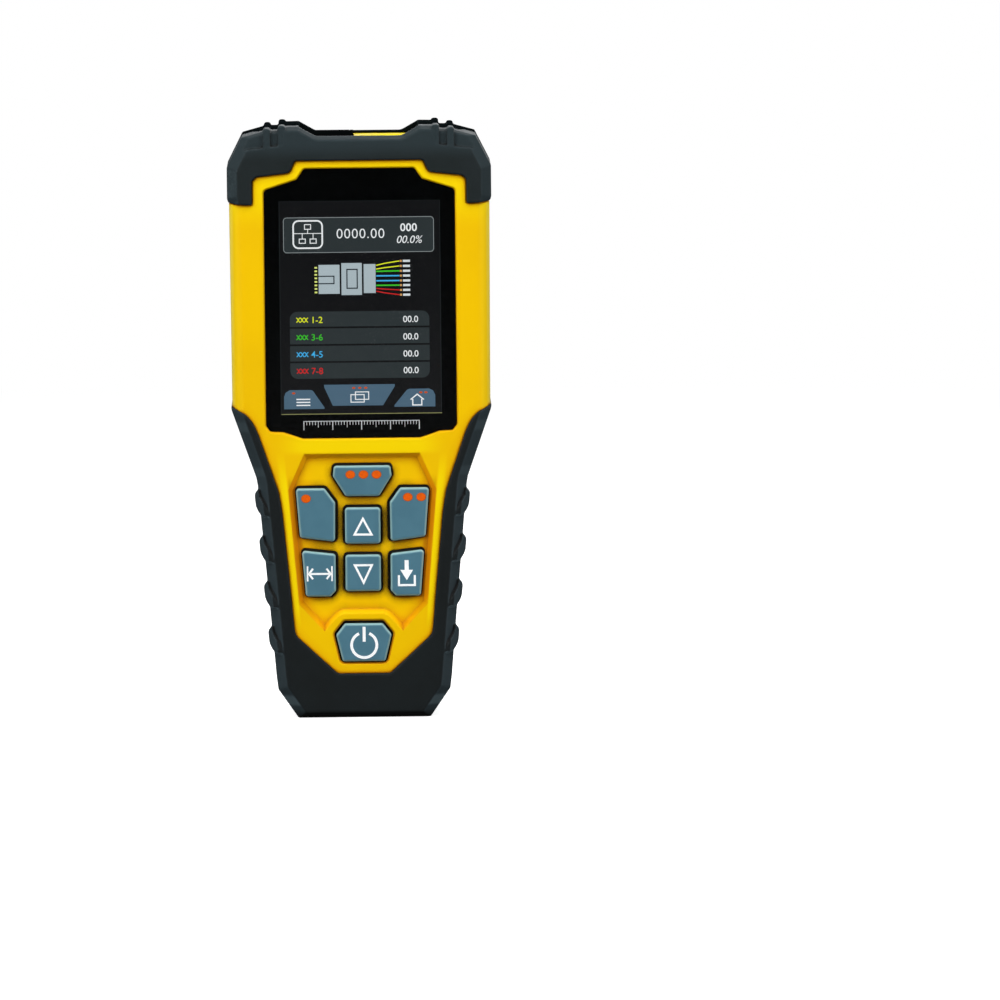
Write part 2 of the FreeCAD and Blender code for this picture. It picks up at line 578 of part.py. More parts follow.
def half_grip(piece, s, face):
    """Rubber round the handle and its lower end, with four ribs down each side."""
    edge = [(0, 0.0)] + GRIP_EDGE + [(43.4, 104.4), (0, 104.4)]
    whole = mirrored(edge)
    n = len(whole)
    drop = []
    for i in range(n):
        (x0, z0), (x1, z1) = whole[i], whole[(i + 1) % n]
        if z0 > 104.0 and z1 > 104.0:
            drop.append(0.0)
        elif z0 < 0.1 and z1 < 0.1:
            drop.append(2.0)
        else:
            drop.append(3.2)
    piece.add(piece.outline([segments(whole)]), 0.0, dim("rubber_step") * s)
    piece.loft(
        piece.outline([segments(whole)], dim("rubber_step") * s),
        piece.outline([segments(inset(whole, drop))], dim("rubber_face") * s),
        1,
    )
    ribs = []
    for top in RIB_TOPS:
        rib = [(edge_x(top - RIB_DROP + dz) + dx, top - RIB_DROP + dz) for dx, dz in RIB]
        ribs.append(segments(rib))
        ribs.append(segments(flipped(rib)))
    piece.lean(piece.outline(ribs), V(0.0, -19.8 * s, RIB_DROP * s))
    # the ribs follow the edge bevel at a small height: what stands further out is trimmed, along the handle's lean
    lean = math.degrees(math.atan2(34.8 - 31.1, 78.0 - 36.0))
    for side in (-1, 1):
        foot = 31.1 + (24.0 - 36.0) * (34.8 - 31.1) / 42.0
        tri = [(1.35, 16.6), (9.0, 16.6), (9.0, 24.0), (-5.62, 24.0)]
        sk = piece.outline([segments([(side * x, -f * s) for x, f in tri])], 0.0, "XY_Plane")
        sk.AttachmentOffset = Placement(V(side * (foot - 0.4), 0, 14.0), Rotation(V(0, 1, 0), side * lean))
        piece.remove(sk, 0.0, 70.0)
    keep = [q for q in face if q[1] < 120 and 0 < q[0] < 49]
    field = mirrored([(0, face[0][1])] + keep + [(60.0, 104.4), (60.0, 120.0), (0, 120.0)])
    soft = [1.3 if 1e-6 < abs(x) < 43.0 and z < 104.0 else 0.0 for x, z in field]
    piece.remove(piece.outline([segments(field, soft)], 25.0 * s), 25.0 * s, 0.0)
    core = mirrored(CORE)
    piece.remove(piece.outline([segments(core)]), 0.0, dim("core_step") * s)
    piece.loft(piece.outline([segments(core)], dim("core_step") * s), piece.outline([segments(inset(core, 2.0))], dim("core_face") * s), -1)
    if s < 0:
        piece.remove(piece.discs(COLUMNS[4:], 3.3, -21.0), -21.0, -15.0)


for label, s, face in (("handle_grip_front", 1, FACE_FRONT), ("handle_grip_rear", -1, FACE_REAR)):
    p = Piece(label)
    half_grip(p, s, face)

# ---------------------------------------------------------------- window and display
p = Piece("lens_gasket")
ring = [segments(inset(window, 0.3), 1.3), segments(box_outline(-28.4, 28.4, 99.9, 174.6), 1.0)]
p.add(p.outline(ring, dim("ledge_face")), dim("ledge_face"), dim("ledge_face") + dim("gasket_thick"))

p = Piece("display_lens")
base = dim("ledge_face") + dim("gasket_thick")
p.add(p.outline([segments(window, 1.4)], base), base, base + dim("lens_thick"))
p.chamfer(lambda e: on_plane(e, 18.5), 0.25)

p = Piece("display_frame")
p.add(p.outline([segments(box_outline(-31.4, 31.4, 96.4, 177.6), 1.5)], dim("board_front") + 0.1), dim("board_front") + 0.1, 15.8)
p.remove(p.outline([segments(box_outline(-28.6, 28.6, 98.0, 176.0), 0.5)], 15.8), 15.8, 13.2)
p.remove(p.outline([segments(box_outline(-26.0, 26.0, 103.0, 172.0), 2.0)], 15.8), 15.8, 10.0)
p.remove(p.outline([segments(box_outline(-9.0, 9.0, 95.0, 100.2))], 13.6), 13.6, 12.4)

p = Piece("display_panel")
p.add(p.outline([segments(box_outline(-28.4, 28.4, 98.2, 175.8), 0.4)], 13.3), 13.3, 15.5)
p.add(p.outline([segments(box_outline(-27.0, 27.0, 101.3, 173.0))], 15.5), 15.5, 15.7)

p = Piece("display_ribbon")
# flat flexible lead from the panel's lower edge down to its connector on the board
ribbon = [(-13.3, 99.6), (-13.0, 99.6), (-13.0, 96.0), (-11.55, 93.4), (-11.55, 90.6), (-11.85, 90.6), (-11.85, 93.5), (-13.3, 96.1)]
p.add(p.outline([segments(ribbon)], -8.0, "YZ_Plane"), -8.0, 8.0)

# ---------------------------------------------------------------- main board and what is on it
p = Piece("main_board")
board = [(-21.3, 13.0), (21.3, 13.0), (23.6, 15.4), (25.7, 36.8), (29.4, 79.0), (29.9, 82.3), (32.4, 98.0), (32.4, 112.6), (38.6, 112.6),
         (38.6, 169.4), (31.6, 169.4), (31.6, 176.6), (-0.8, 176.6), (-0.8, 188.8), (-31.6, 188.8), (-31.6, 169.4), (-38.6, 169.4),
         (-38.6, 112.6), (-32.4, 112.6), (-32.4, 98.0), (-29.9, 82.3), (-29.4, 79.0), (-25.7, 36.8), (-23.6, 15.4)]
p.add(p.outline([segments(board, 0.6)], dim("board_back")), dim("board_back"), dim("board_front"))
p.remove(p.discs(BOARD_POSTS, 1.2, 12.0), 12.0, 8.0)

p = Piece("board_chips", True)
def slabs(rects):
    return [segments(box_outline(cx - w / 2, cx + w / 2, cz - h / 2, cz + h / 2)) for cx, cz, w, h in rects]


p.add(p.outline(slabs([(0.0, 140.0, 14.0, 14.0), (20.0, 146.0, 8.0, 12.0), (-20.0, 150.0, 9.0, 6.0), (18.0, 122.0, 6.0, 6.0), (-18.0, 124.0, 7.0, 7.0),
                       (3.0, 118.0, 5.0, 4.0), (-6.0, 160.0, 6.0, 5.0), (14.0, 164.0, 8.0, 5.0)]), dim("board_back")), dim("board_back"), dim("board_back") - 1.4)
p.add(p.outline(slabs([(0.0, 91.6, 20.0, 2.4)]), dim("board_front")), dim("board_front"), dim("board_front") + 0.4)

p = Piece("buzzer")
p.add(p.discs([(-24.0, 106.0)], 5.0, dim("board_back")), dim("board_back"), dim("board_back") - 4.2)
p.remove(p.discs([(-24.0, 106.0)], 0.9, dim("board_back") - 4.2), dim("board_back") - 4.2, dim("board_back") - 3.0)

p = Piece("tact_switches", True)
p.add(p.outline([segments(box_outline(x - 3.0, x + 3.0, z - 3.0, z + 3.0)) for x, z in STEMS], dim("board_front")), dim("board_front"), dim("board_front") + 2.0)
p.add(p.discs(STEMS, 1.7, dim("board_front") + 2.0), dim("board_front") + 2.0, dim("board_front") + 2.6)

# ---------------------------------------------------------------- keypad
p = Piece("keypad_mat")
mat = mirrored([(0, 15.0), (12.0, 15.0), (15.6, 19.4), (22.4, 34.0), (26.6, 78.0), (21.6, 91.0), (0, 91.0)])
p.add(p.outline([segments(mat, 2.0)], dim("mat_back")), dim("mat_back"), dim("mat_front"))
p.remove(p.discs(STEMS, dim("mat_hole"), 17.0), 17.0, 14.0)

for key, (points, dx, dz, stem) in KEYS.items():
    p = Piece(key)
    top = dim("power_top") if key == "key_power" else dim("key_top")
    p.add(p.outline([segments(points, 1.1)], dim("key_bottom")), dim("key_bottom"), top)
    p.add(p.discs([stem], dim("stem_radius"), dim("key_bottom")), dim("key_bottom"), dim("stem_end"))
    p.fillet(lambda e, t=top.value: on_plane(e, t), dim("key_edge"))

# ---------------------------------------------------------------- coaxial jack in its well
cx, cf = dim("coax_x").value, dim("coax_f").value
turned = Placement(V(cx, -cf, 0), Rotation())


def lathe(label, points):
    """A piece turned about the jack's axis: points are radius and height."""
    piece = Piece(label)
    sk = piece.outline([segments(points)])
    piece.revolve(sk)
    return piece


p = lathe("jack_well", [(5.0, 178.2), (10.3, 178.2), (10.3, 192.9), (10.05, 193.15), (9.3, 193.15), (9.0, 192.85), (9.0, 180.2), (5.0, 180.2)])
p.body.Placement = turned
p = lathe("coax_jack", [(3.1, 169.6), (5.2, 169.6), (5.2, 175.8), (6.6, 175.8), (6.6, 178.2), (4.65, 178.2), (4.65, 183.0), (4.4, 183.3),
                        (4.4, 188.2), (4.85, 188.2), (4.85, 192.3), (4.6, 192.6), (4.25, 192.6), (4.05, 192.4), (4.05, 181.1), (3.1, 181.1)])
p.add(p.discs([(0.0, 187.2)], 0.9, -5.8), -5.8, -4.15)
p.add(p.discs([(0.0, 187.2)], 0.9, 4.15), 4.15, 5.8)
p.body.Placement = turned
p = lathe("coax_insulator", [(0.75, 169.6), (3.1, 169.6), (3.1, 181.8), (2.4, 181.8), (2.4, 190.2), (1.35, 190.2), (1.35, 182.0), (0.75, 182.0)])
p.body.Placement = turned
p = lathe("coax_contact", [(0.0, 165.6), (0.75, 165.6), (0.75, 182.0), (1.35, 182.0), (1.35, 189.8), (0.7, 189.8), (0.7, 183.5), (0.0, 183.5)])
p.body.Placement = turned
p = Piece("coax_nut")
hexagon = [(6.9 * math.cos(math.radians(60 * i)), 6.9 * math.sin(math.radians(60 * i))) for i in range(6)]
p.add(p.outline([segments(hexagon)], 180.2, "XY_Plane"), 180.2, 182.5)
p.remove(p.discs([(0.0, 0.0)], 4.72, 184.0, "XY_Plane"), 184.0, 180.0)
p.body.Placement = turned

# ---------------------------------------------------------------- modular socket, its frame and its dust cover
sx = dim("socket_x").value
p = Piece("socket_frame")
p.add(p.outline([segments([(-18.7, 9.7), (-1.7, 9.7), (-1.7, -11.3), (-18.7, -11.3)])], 189.9, "XY_Plane"), 189.9, 193.3)
p.remove(p.outline([segments([(sx - 6.1, 2.2), (sx + 6.1, 2.2), (sx + 6.1, -6.6), (sx - 6.1, -6.6)])], 195.0, "XY_Plane"), 195.0, 189.0)
# two ears that carry the cover's trunnions
p.add(p.outline([segments([(-18.6, 9.2), (-17.5, 9.2), (-17.5, 6.6), (-18.6, 6.6)]), segments([(-2.9, 9.2), (-1.8, 9.2), (-1.8, 6.6), (-2.9, 6.6)])], 193.3, "XY_Plane"), 193.3, 194.75)
p.remove(p.discs([(7.9, 194.1)], 0.5, -20.0, "YZ_Plane"), -20.0, 0.0)

p = Piece("modular_socket")
p.add(p.outline([segments([(sx - 7.8, -9.4), (sx + 7.8, -9.4), (sx + 7.8, 4.0), (sx - 7.8, 4.0)])], 169.0, "XY_Plane"), 169.0, 189.8)
p.remove(p.outline([segments([(sx - 6.0, -6.5), (sx + 6.0, -6.5), (sx + 6.0, 0.9), (sx - 6.0, 0.9)])], 192.0, "XY_Plane"), 192.0, 175.0)
p.remove(p.outline([segments([(sx - 3.1, 0.8), (sx + 3.1, 0.8), (sx + 3.1, 2.2), (sx - 3.1, 2.2)])], 192.0, "XY_Plane"), 192.0, 177.0)

p = Piece("socket_contacts", True)
wires = []
for i in range(8):
    x = sx + (i - 3.5) * 1.02
    wires.append(segments([(x - 0.2, -6.5), (x + 0.2, -6.5), (x + 0.2, -5.7), (x - 0.2, -5.7)]))
p.add(p.outline(wires, 175.0, "XY_Plane"), 175.0, 187.5)

p = Piece("socket_cover")
cover = [(sx - 7.1, 7.4), (sx + 7.1, 7.4), (sx + 7.1, 4.4), (sx + 8.2, 4.4), (sx + 8.2, -10.3), (sx + 7.2, -11.3), (sx - 7.2, -11.3),
         (sx - 8.2, -10.3), (sx - 8.2, 4.4), (sx - 7.1, 4.4)]
p.add(p.outline([segments(cover)], 193.4, "XY_Plane"), 193.4, 194.5)
# knuckle and trunnions along the rear edge, plug underneath
p.add(p.discs([(7.9, 194.1)], 0.74, sx - 7.1, "YZ_Plane"), sx - 7.1, sx + 7.1)
p.add(p.discs([(7.9, 194.1)], 0.43, sx - 8.2, "YZ_Plane"), sx - 8.2, sx + 8.2)
p.add(p.outline([segments([(sx - 5.6, 1.7), (sx + 5.6, 1.7), (sx + 5.6, -5.9), (sx - 5.6, -5.9)], 0.8)], 193.6, "XY_Plane"), 193.6, 191.8)

# ---------------------------------------------------------------- battery door, cells and contacts
p = Piece("battery_door")
door = [(-24.0, 36.2), (-8.3, 36.2), (-6.4, 34.6), (-6.4, 29.3), (-4.7, 27.2), (4.7, 27.2), (6.4, 29.3), (6.4, 34.6), (8.3, 36.2), (24.0, 36.2), (24.0, 95.6), (-24.0, 95.6)]
p.add(p.outline([segments(door)], -dim("door_inner")), -dim("door_inner"), -dim("door_face"))
p.add(p.discs([(dim("hinge_f"), dim("hinge_z"))], dim("door_face") - dim("hinge_f"), -24.0, "YZ_Plane"), -24.0, 24.0)
p.add(p.discs([(dim("hinge_f"), dim("hinge_z"))], dim("trunnion"), -25.6, "YZ_Plane"), -25.6, 25.6)
p.remove(p.discs([(0.0, 31.2)], 1.5, -21.0), -21.0, -15.0)
p.remove(p.discs([(0.0, 31.2)], 3.1, -21.0), -21.0, -17.3)
# finger ridges across the door
for z in (46.0, 49.0, 52.0, 55.0, 58.0):
    p.remove(p.outline([segments(box_outline(-9.0, 9.0, z - 0.6, z + 0.6))], -21.0), -21.0, -18.5)

p = Piece("door_screw")
p.add(p.discs([(0.0, 31.2)], 2.9, -17.4), -17.4, -18.8)
p.add(p.discs([(0.0, 31.2)], 1.2, -17.4), -17.4, -12.2)
p.remove(p.outline([segments(box_outline(-2.2, 2.2, 30.75, 31.65))], -20.0), -20.0, -18.0)

cells = [-dim("cell_pitch").value, 0.0, dim("cell_pitch").value]
p = Piece("battery_cells", True)
CELL_F = -9.2
centres = [(x, -CELL_F) for x in cells]
p.add(p.discs(centres, dim("cell_radius"), 42.2, "XY_Plane"), 42.2, dim("cell_length") + 42.2)
p.add(p.discs([centres[0], centres[2]], 2.75, 91.2, "XY_Plane"), 91.2, 92.5)
p.add(p.discs([centres[1]], 2.75, 42.2, "XY_Plane"), 42.2, 40.9)

p = Piece("battery_contacts", True)
plates = []
for x in cells:
    plates.append(segments([(x - 5.5, 4.5), (x + 5.5, 4.5), (x + 5.5, 14.0), (x - 5.5, 14.0)], 1.0))
p.add(p.outline(plates, 95.4, "XY_Plane"), 95.4, 96.0)
p.add(p.outline(plates, 37.0, "XY_Plane"), 37.0, 37.6)

# coil springs at the cells' flat ends
springs = []
for x, z in ((cells[0], 37.95), (cells[2], 37.95), (cells[1], 91.55)):
    helix = Part.makeHelix(1.45, 3.5, 2.9)
    wire = Part.Wire(helix.Edges)
    start = helix.Edges[0].valueAt(helix.Edges[0].FirstParameter)
    tangent = helix.Edges[0].tangentAt(helix.Edges[0].FirstParameter)
    profile = Part.Wire(Part.makeCircle(0.28, start, tangent))
    coil = wire.makePipeShell([profile], True, True)
    coil.Placement = Placement(V(x, 9.2, z), Rotation()).multiply(coil.Placement)
    springs.append(coil)
coils = doc.addObject("Part::Feature", "battery_springs")
coils.Label = "battery_springs"
coils.Shape = Part.makeCompound(springs)
coils.Placement = Placement()
pieces.append(coils)

# ---------------------------------------------------------------- fasteners
p = Piece("case_screws", True)
p.add(p.discs(COLUMNS, dim("screw_head"), -15.6), -15.6, -17.4)
p.add(p.discs(COLUMNS, dim("screw_radius"), -15.6), -15.6, 9.5)
for x, z in COLUMNS:
    cross = [(x - 0.45, z - 1.7), (x + 0.45, z - 1.7), (x + 0.45, z - 0.45), (x + 1.7, z - 0.45), (x + 1.7, z + 0.45), (x + 0.45, z + 0.45),
             (x + 0.45, z + 1.7), (x - 0.45, z + 1.7), (x - 0.45, z + 0.45), (x - 1.7, z + 0.45), (x - 1.7, z - 0.45), (x - 0.45, z - 0.45)]
    p.remove(p.outline([segments(cross)], -19.0), -19.0, -16.4)

p = Piece("board_screws", True)
p.add(p.discs(BOARD_POSTS, 2.1, dim("board_back")), dim("board_back"), dim("board_back") - 1.3)
p.add(p.discs(BOARD_POSTS, 0.95, dim("board_back")), dim("board_back"), dim("board_front") + 4.5)

# ---------------------------------------------------------------- check and write
doc.recompute()
faults = []
for obj in doc.Objects:
    if "Invalid" in obj.State or "Error" in obj.State:
        faults.append("%s: %s" % (obj.Name, obj.State))
for body in pieces:
    if body.Shape.isNull() or not body.Shape.isValid():
        faults.append("%s: bad shape" % body.Label)
if faults:
    print("\n".join(faults))
    sys.exit(1)
for body in pieces:
    body.Shape.exportStep("parts/%s.step" % body.Label)
    b = body.Shape.BoundBox
    print("%-20s solids %2d  volume %9.1f  X %.1f..%.1f  Y %.1f..%.1f  Z %.1f..%.1f" % (
        body.Label, len(body.Shape.Solids), body.Shape.Volume, b.XMin, b.XMax, b.YMin, b.YMax, b.ZMin, b.ZMax))
print("%d pieces" % len(pieces))
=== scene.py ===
import math

import bmesh
import bpy
from mathutils import Matrix, Vector


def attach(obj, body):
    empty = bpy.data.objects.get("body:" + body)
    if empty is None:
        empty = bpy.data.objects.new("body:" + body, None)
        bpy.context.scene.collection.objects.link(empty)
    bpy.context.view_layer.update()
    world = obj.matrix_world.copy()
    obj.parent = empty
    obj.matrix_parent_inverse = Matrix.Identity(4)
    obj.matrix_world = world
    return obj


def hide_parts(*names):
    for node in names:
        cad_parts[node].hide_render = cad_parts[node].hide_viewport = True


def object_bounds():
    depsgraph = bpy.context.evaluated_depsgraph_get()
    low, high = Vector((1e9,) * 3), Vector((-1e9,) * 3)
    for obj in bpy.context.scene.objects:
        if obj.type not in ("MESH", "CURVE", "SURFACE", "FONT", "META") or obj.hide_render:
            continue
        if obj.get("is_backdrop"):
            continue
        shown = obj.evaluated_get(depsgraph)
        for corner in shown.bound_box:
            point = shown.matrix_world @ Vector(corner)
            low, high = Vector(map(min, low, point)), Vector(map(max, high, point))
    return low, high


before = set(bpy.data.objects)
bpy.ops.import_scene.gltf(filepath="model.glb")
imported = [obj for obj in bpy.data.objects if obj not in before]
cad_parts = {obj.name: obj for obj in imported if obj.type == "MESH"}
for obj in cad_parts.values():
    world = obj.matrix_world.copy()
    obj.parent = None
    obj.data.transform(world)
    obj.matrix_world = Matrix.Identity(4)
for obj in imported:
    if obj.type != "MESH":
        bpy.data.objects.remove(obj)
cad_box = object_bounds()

# Sizes below are in millimetres in the CAD's frame, X right, Z up, and f for the distance in front of the joint between
# the shells (f = -Y). Colours are written as the 0-255 values they should have on a screen.
MM = 0.001
KEYS = ["key_menu_left", "key_menu_center", "key_menu_right", "key_up", "key_down", "key_measure", "key_save", "key_power"]


def rgb(r, g, b, a=1.0):
    def lin(c):
        c = c / 255.0
        return c / 12.92 if c <= 0.04045 else ((c + 0.055) / 1.055) ** 2.4
    return (lin(r), lin(g), lin(b), a)


# ---------------------------------------------------------------- materials
class Graph:
    """A material's node tree, with short names for the nodes used here."""

    def __init__(self, name):
        self.m = bpy.data.materials.new(name)
        self.m.use_nodes = True
        self.t = self.m.node_tree
        self.t.nodes.clear()
        self.out = self.t.nodes.new("ShaderNodeOutputMaterial")
        self.where = self.t.nodes.new("ShaderNodeTexCoord").outputs

    def node(self, kind, **values):
        n = self.t.nodes.new(kind)
        for k, v in values.items():
            setattr(n, k, v)
        return n

    def put(self, socket, value):
        if isinstance(value, bpy.types.NodeSocket):
            self.t.links.new(value, socket)
        else:
            socket.default_value = value

    def shader(self, **sockets):
        p = self.node("ShaderNodeBsdfPrincipled")
        for k, v in sockets.items():
            self.put(p.inputs[k.replace("_", " ")], v)
        self.t.links.new(p.outputs[0], self.out.inputs[0])
        self.p = p
        return p

    def noise(self, per_mm, detail=2.0, rough=0.5, shift=0.0, stretch=None, distortion=0.0):
        n = self.node("ShaderNodeTexNoise")
        n.inputs["Scale"].default_value = per_mm * 1000.0
        n.inputs["Detail"].default_value = detail
        n.inputs["Roughness"].default_value = rough
        n.inputs["Distortion"].default_value = distortion
        m = self.node("ShaderNodeMapping")
        m.inputs["Location"].default_value = (shift, shift * 0.7, shift * 1.3)
        if stretch:
            m.inputs["Scale"].default_value = stretch
        self.put(m.inputs["Vector"], self.where["Object"])
        self.put(n.inputs["Vector"], m.outputs[0])
        return n.outputs["Fac"]

    def cells(self, per_mm, feature="F1", out="Distance"):
        n = self.node("ShaderNodeTexVoronoi", feature=feature)
        n.inputs["Scale"].default_value = per_mm * 1000.0
        self.put(n.inputs["Vector"], self.where["Object"])
        return n.outputs[out]

    def span(self, value, a, b, lo=0.0, hi=1.0, smooth=True):
        n = self.node("ShaderNodeMapRange", clamp=True)
        n.interpolation_type = "SMOOTHSTEP" if smooth else "LINEAR"
        self.put(n.inputs["Value"], value)
        for k, v in (("From Min", a), ("From Max", b), ("To Min", lo), ("To Max", hi)):
            n.inputs[k].default_value = v
        return n.outputs[0]

    def math(self, how, a, b=0.0, c=0.0):
        n = self.node("ShaderNodeMath", operation=how)
        for s, v in zip(n.inputs, (a, b, c)):
            self.put(s, v)
        return n.outputs[0]

    def mix(self, fac, a, b, how="MIX"):
        n = self.node("ShaderNodeMix", data_type="RGBA", blend_type=how)
        self.put(n.inputs[0], fac)
        self.put(n.inputs[6], a)
        self.put(n.inputs[7], b)
        return n.outputs[2]

    def bump(self, height, depth, strength=1.0, normal=None):
        n = self.node("ShaderNodeBump")
        n.inputs["Distance"].default_value = depth * MM
        n.inputs["Strength"].default_value = strength
        self.put(n.inputs["Height"], height)
        if normal is not None:
            self.put(n.inputs["Normal"], normal)
        return n.outputs[0]

    def axis(self, which, source="Object"):
        n = self.node("ShaderNodeSeparateXYZ")
        self.put(n.inputs[0], self.where[source])
        return n.outputs[which]

    def rounded(self, radius, samples=6):
        """Normal of the surface with its edges eased, as a mould leaves them."""
        n = self.node("ShaderNodeBevel", samples=samples)
        n.inputs["Radius"].default_value = radius * MM
        return n.outputs[0]

    def crease(self, reach, samples=6):
        """1 in the open, 0 deep in a corner."""
        n = self.node("ShaderNodeAmbientOcclusion", samples=samples)
        n.inputs["Distance"].default_value = reach * MM
        return n.outputs["AO"]


def shell_plastic(name="moulded_yellow", shaded=True, a=rgb(247, 198, 0), b=rgb(242, 192, 0)):
    g = Graph(name)
    broad = g.noise(0.035, 3, 0.55)
    fine = g.noise(2.6, 3, 0.6, 3.1)
    micro = g.noise(6.5, 2, 0.5, 7.7)
    base = g.mix(g.span(broad, 0.3, 0.7), a, b)
    base = g.mix(g.span(fine, 0.42, 0.75, 0, 0.14), base, rgb(249, 206, 4))
    # painted highlight: the rounded corners of the long sides are made paler, where light catches them
    turned = g.math("ABSOLUTE", g.axis(0, "Normal"))
    x = g.math("ABSOLUTE", g.math("MULTIPLY", g.axis(0), 1000.0))
    y = g.math("ABSOLUTE", g.math("MULTIPLY", g.axis(1), 1000.0))
    base = g.mix(g.math("MULTIPLY", g.span(turned, 0.12, 0.55, 0.0, 0.6), g.span(x, 30.0, 34.0)), base, rgb(255, 214, 14))
    base = g.mix(g.math("MULTIPLY", g.span(y, 12.5, 16.0, 0.0, 0.62), g.span(x, 41.6, 43.0)), base, rgb(255, 238, 104))
    if shaded:
        # painted light and shade on the shell, left off the cup
        z = g.math("MULTIPLY", g.axis(2), 1000.0)
        # painted highlight: the narrow crests beside and above the keypad, and the face near the top end, are made a
        # brighter yellow where light falls on them
        rim = g.math("SUBTRACT", x, g.math("ADD", g.math("MULTIPLY", z, 0.0862), 18.1))
        crest = g.math("MULTIPLY", g.span(rim, -0.3, 0.6), g.span(rim, 1.8, 3.4, 0.9, 0.0))
        crest = g.math("MULTIPLY", crest, g.math("MULTIPLY", g.span(z, 28.0, 38.0), g.span(z, 74.0, 92.0, 1.0, 0.0)))
        brow = g.math("MULTIPLY", g.math("MULTIPLY", g.span(z, 87.5, 90.0), g.span(z, 91.5, 97.0, 0.6, 0.1)), g.span(x, 18.0, 30.0, 1.0, 0.0))
        top = g.math("MULTIPLY", g.span(z, 162.0, 176.0, 0.0, 0.6), g.span(z, 186.0, 187.5, 1.0, 0.0))
        base = g.mix(g.math("MAXIMUM", g.math("MAXIMUM", crest, brow), top), base, rgb(255, 228, 2))
        # painted shade in the hollows: amber at first, olive between the keys, and brown right in the corners
        pad = g.math("MULTIPLY", g.span(z, 35.0, 40.5), g.span(z, 83.0, 86.5, 1.0, 0.0))
        pocket = g.math("MULTIPLY", g.span(x, 12.0, 13.6, 1.0, 0.0), g.span(z, 37.0, 38.6, 1.0, 0.0))
        column = g.math("MULTIPLY", g.span(g.math("ABSOLUTE", g.math("SUBTRACT", x, 7.9)), 2.2, 3.4, 0.42, 0.0), g.span(z, 69.0, 73.0, 1.0, 0.0))
        between = g.math("MULTIPLY", g.math("MULTIPLY", pad, g.span(x, 14.5, 18.5, 1.0, 0.12)), g.math("ADD", column, 0.58))
        wide, near = g.crease(3.4, 10), g.crease(1.3, 6)
        # painted highlight: the top end wall is made lemon where the overhead light falls, and the painted amber shade
        # is held back there
        base = g.mix(g.math("MULTIPLY", g.span(z, 187.0, 189.5), 0.85), base, rgb(255, 234, 8))
        base = g.mix(g.math("MULTIPLY", g.span(wide, 0.74, 0.985, 0.82, 0.0), g.span(z, 187.0, 189.5, 1.0, 0.25)), base, rgb(214, 128, 0))
        # painted shade: dark olive in the strips between the keys
        base = g.mix(g.math("MULTIPLY", between, g.span(wide, 0.77, 0.97, 0.99, 0.0)), base, rgb(33, 31, 9))
        deep = g.math("MAXIMUM", g.math("MAXIMUM", pad, pocket), g.span(z, 93.0, 94.5, 0.0, 0.4))
        deep = g.math("ADD", g.math("MULTIPLY", deep, 0.8), 0.2)
        # painted shade: brown right in the corners and round the power key
        base = g.mix(g.math("MULTIPLY", deep, g.span(near, 0.35, 0.92, 0.94, 0.0)), base, rgb(78, 32, 0))
        # painted shade: the basin's side walls next to the keys are made orange-brown
        wall = g.math("MULTIPLY", g.math("MULTIPLY", g.span(rim, -3.6, -2.4), g.span(rim, -0.7, 0.1, 1.0, 0.0)), g.math("MULTIPLY", g.span(z, 38.0, 42.0), g.span(z, 76.0, 82.0, 0.6, 0.0)))
        base = g.mix(wall, base, rgb(170, 88, 0))
        # painted shade: the basin's sloped walls are made orange, leaving out the hood round the power key
        tilt = g.span(g.math("MULTIPLY", g.axis(1, "Normal"), -1.0), 0.82, 0.97, 0.62, 0.0)
        tilt = g.math("MULTIPLY", tilt, g.math("MULTIPLY", g.span(rim, 0.2, 1.2, 1.0, 0.0), g.math("MULTIPLY", g.span(z, 27.0, 29.0), g.span(z, 88.8, 90.0, 1.0, 0.0))))
        tilt = g.math("MULTIPLY", tilt, g.math("MAXIMUM", g.span(x, 13.5, 15.0, 0.0, 0.6), g.span(z, 38.0, 40.0)))
        base = g.mix(tilt, base, rgb(240, 148, 0))
        # painted light: the basin's top wall, which faces down, is made a brighter yellow to lift its shade
        slope = g.math("MULTIPLY", g.span(g.axis(2, "Normal"), -0.35, -0.12, 0.85, 0.0), g.math("MULTIPLY", g.span(z, 82.0, 84.0), g.span(z, 88.8, 90.0, 1.0, 0.0)))
        base = g.mix(slope, base, rgb(255, 186, 6))
    rough = g.math("ADD", g.span(broad, 0.3, 0.7, 0.46, 0.52), g.span(fine, 0.3, 0.7, -0.03, 0.04))
    height = g.math("ADD", g.math("MULTIPLY", fine, 0.6), g.math("MULTIPLY", micro, 0.4))
    g.shader(Base_Color=base, Roughness=rough, Specular_IOR_Level=0.08, Normal=g.bump(height, 0.012, 0.5, g.rounded(0.7)))
    return g.m


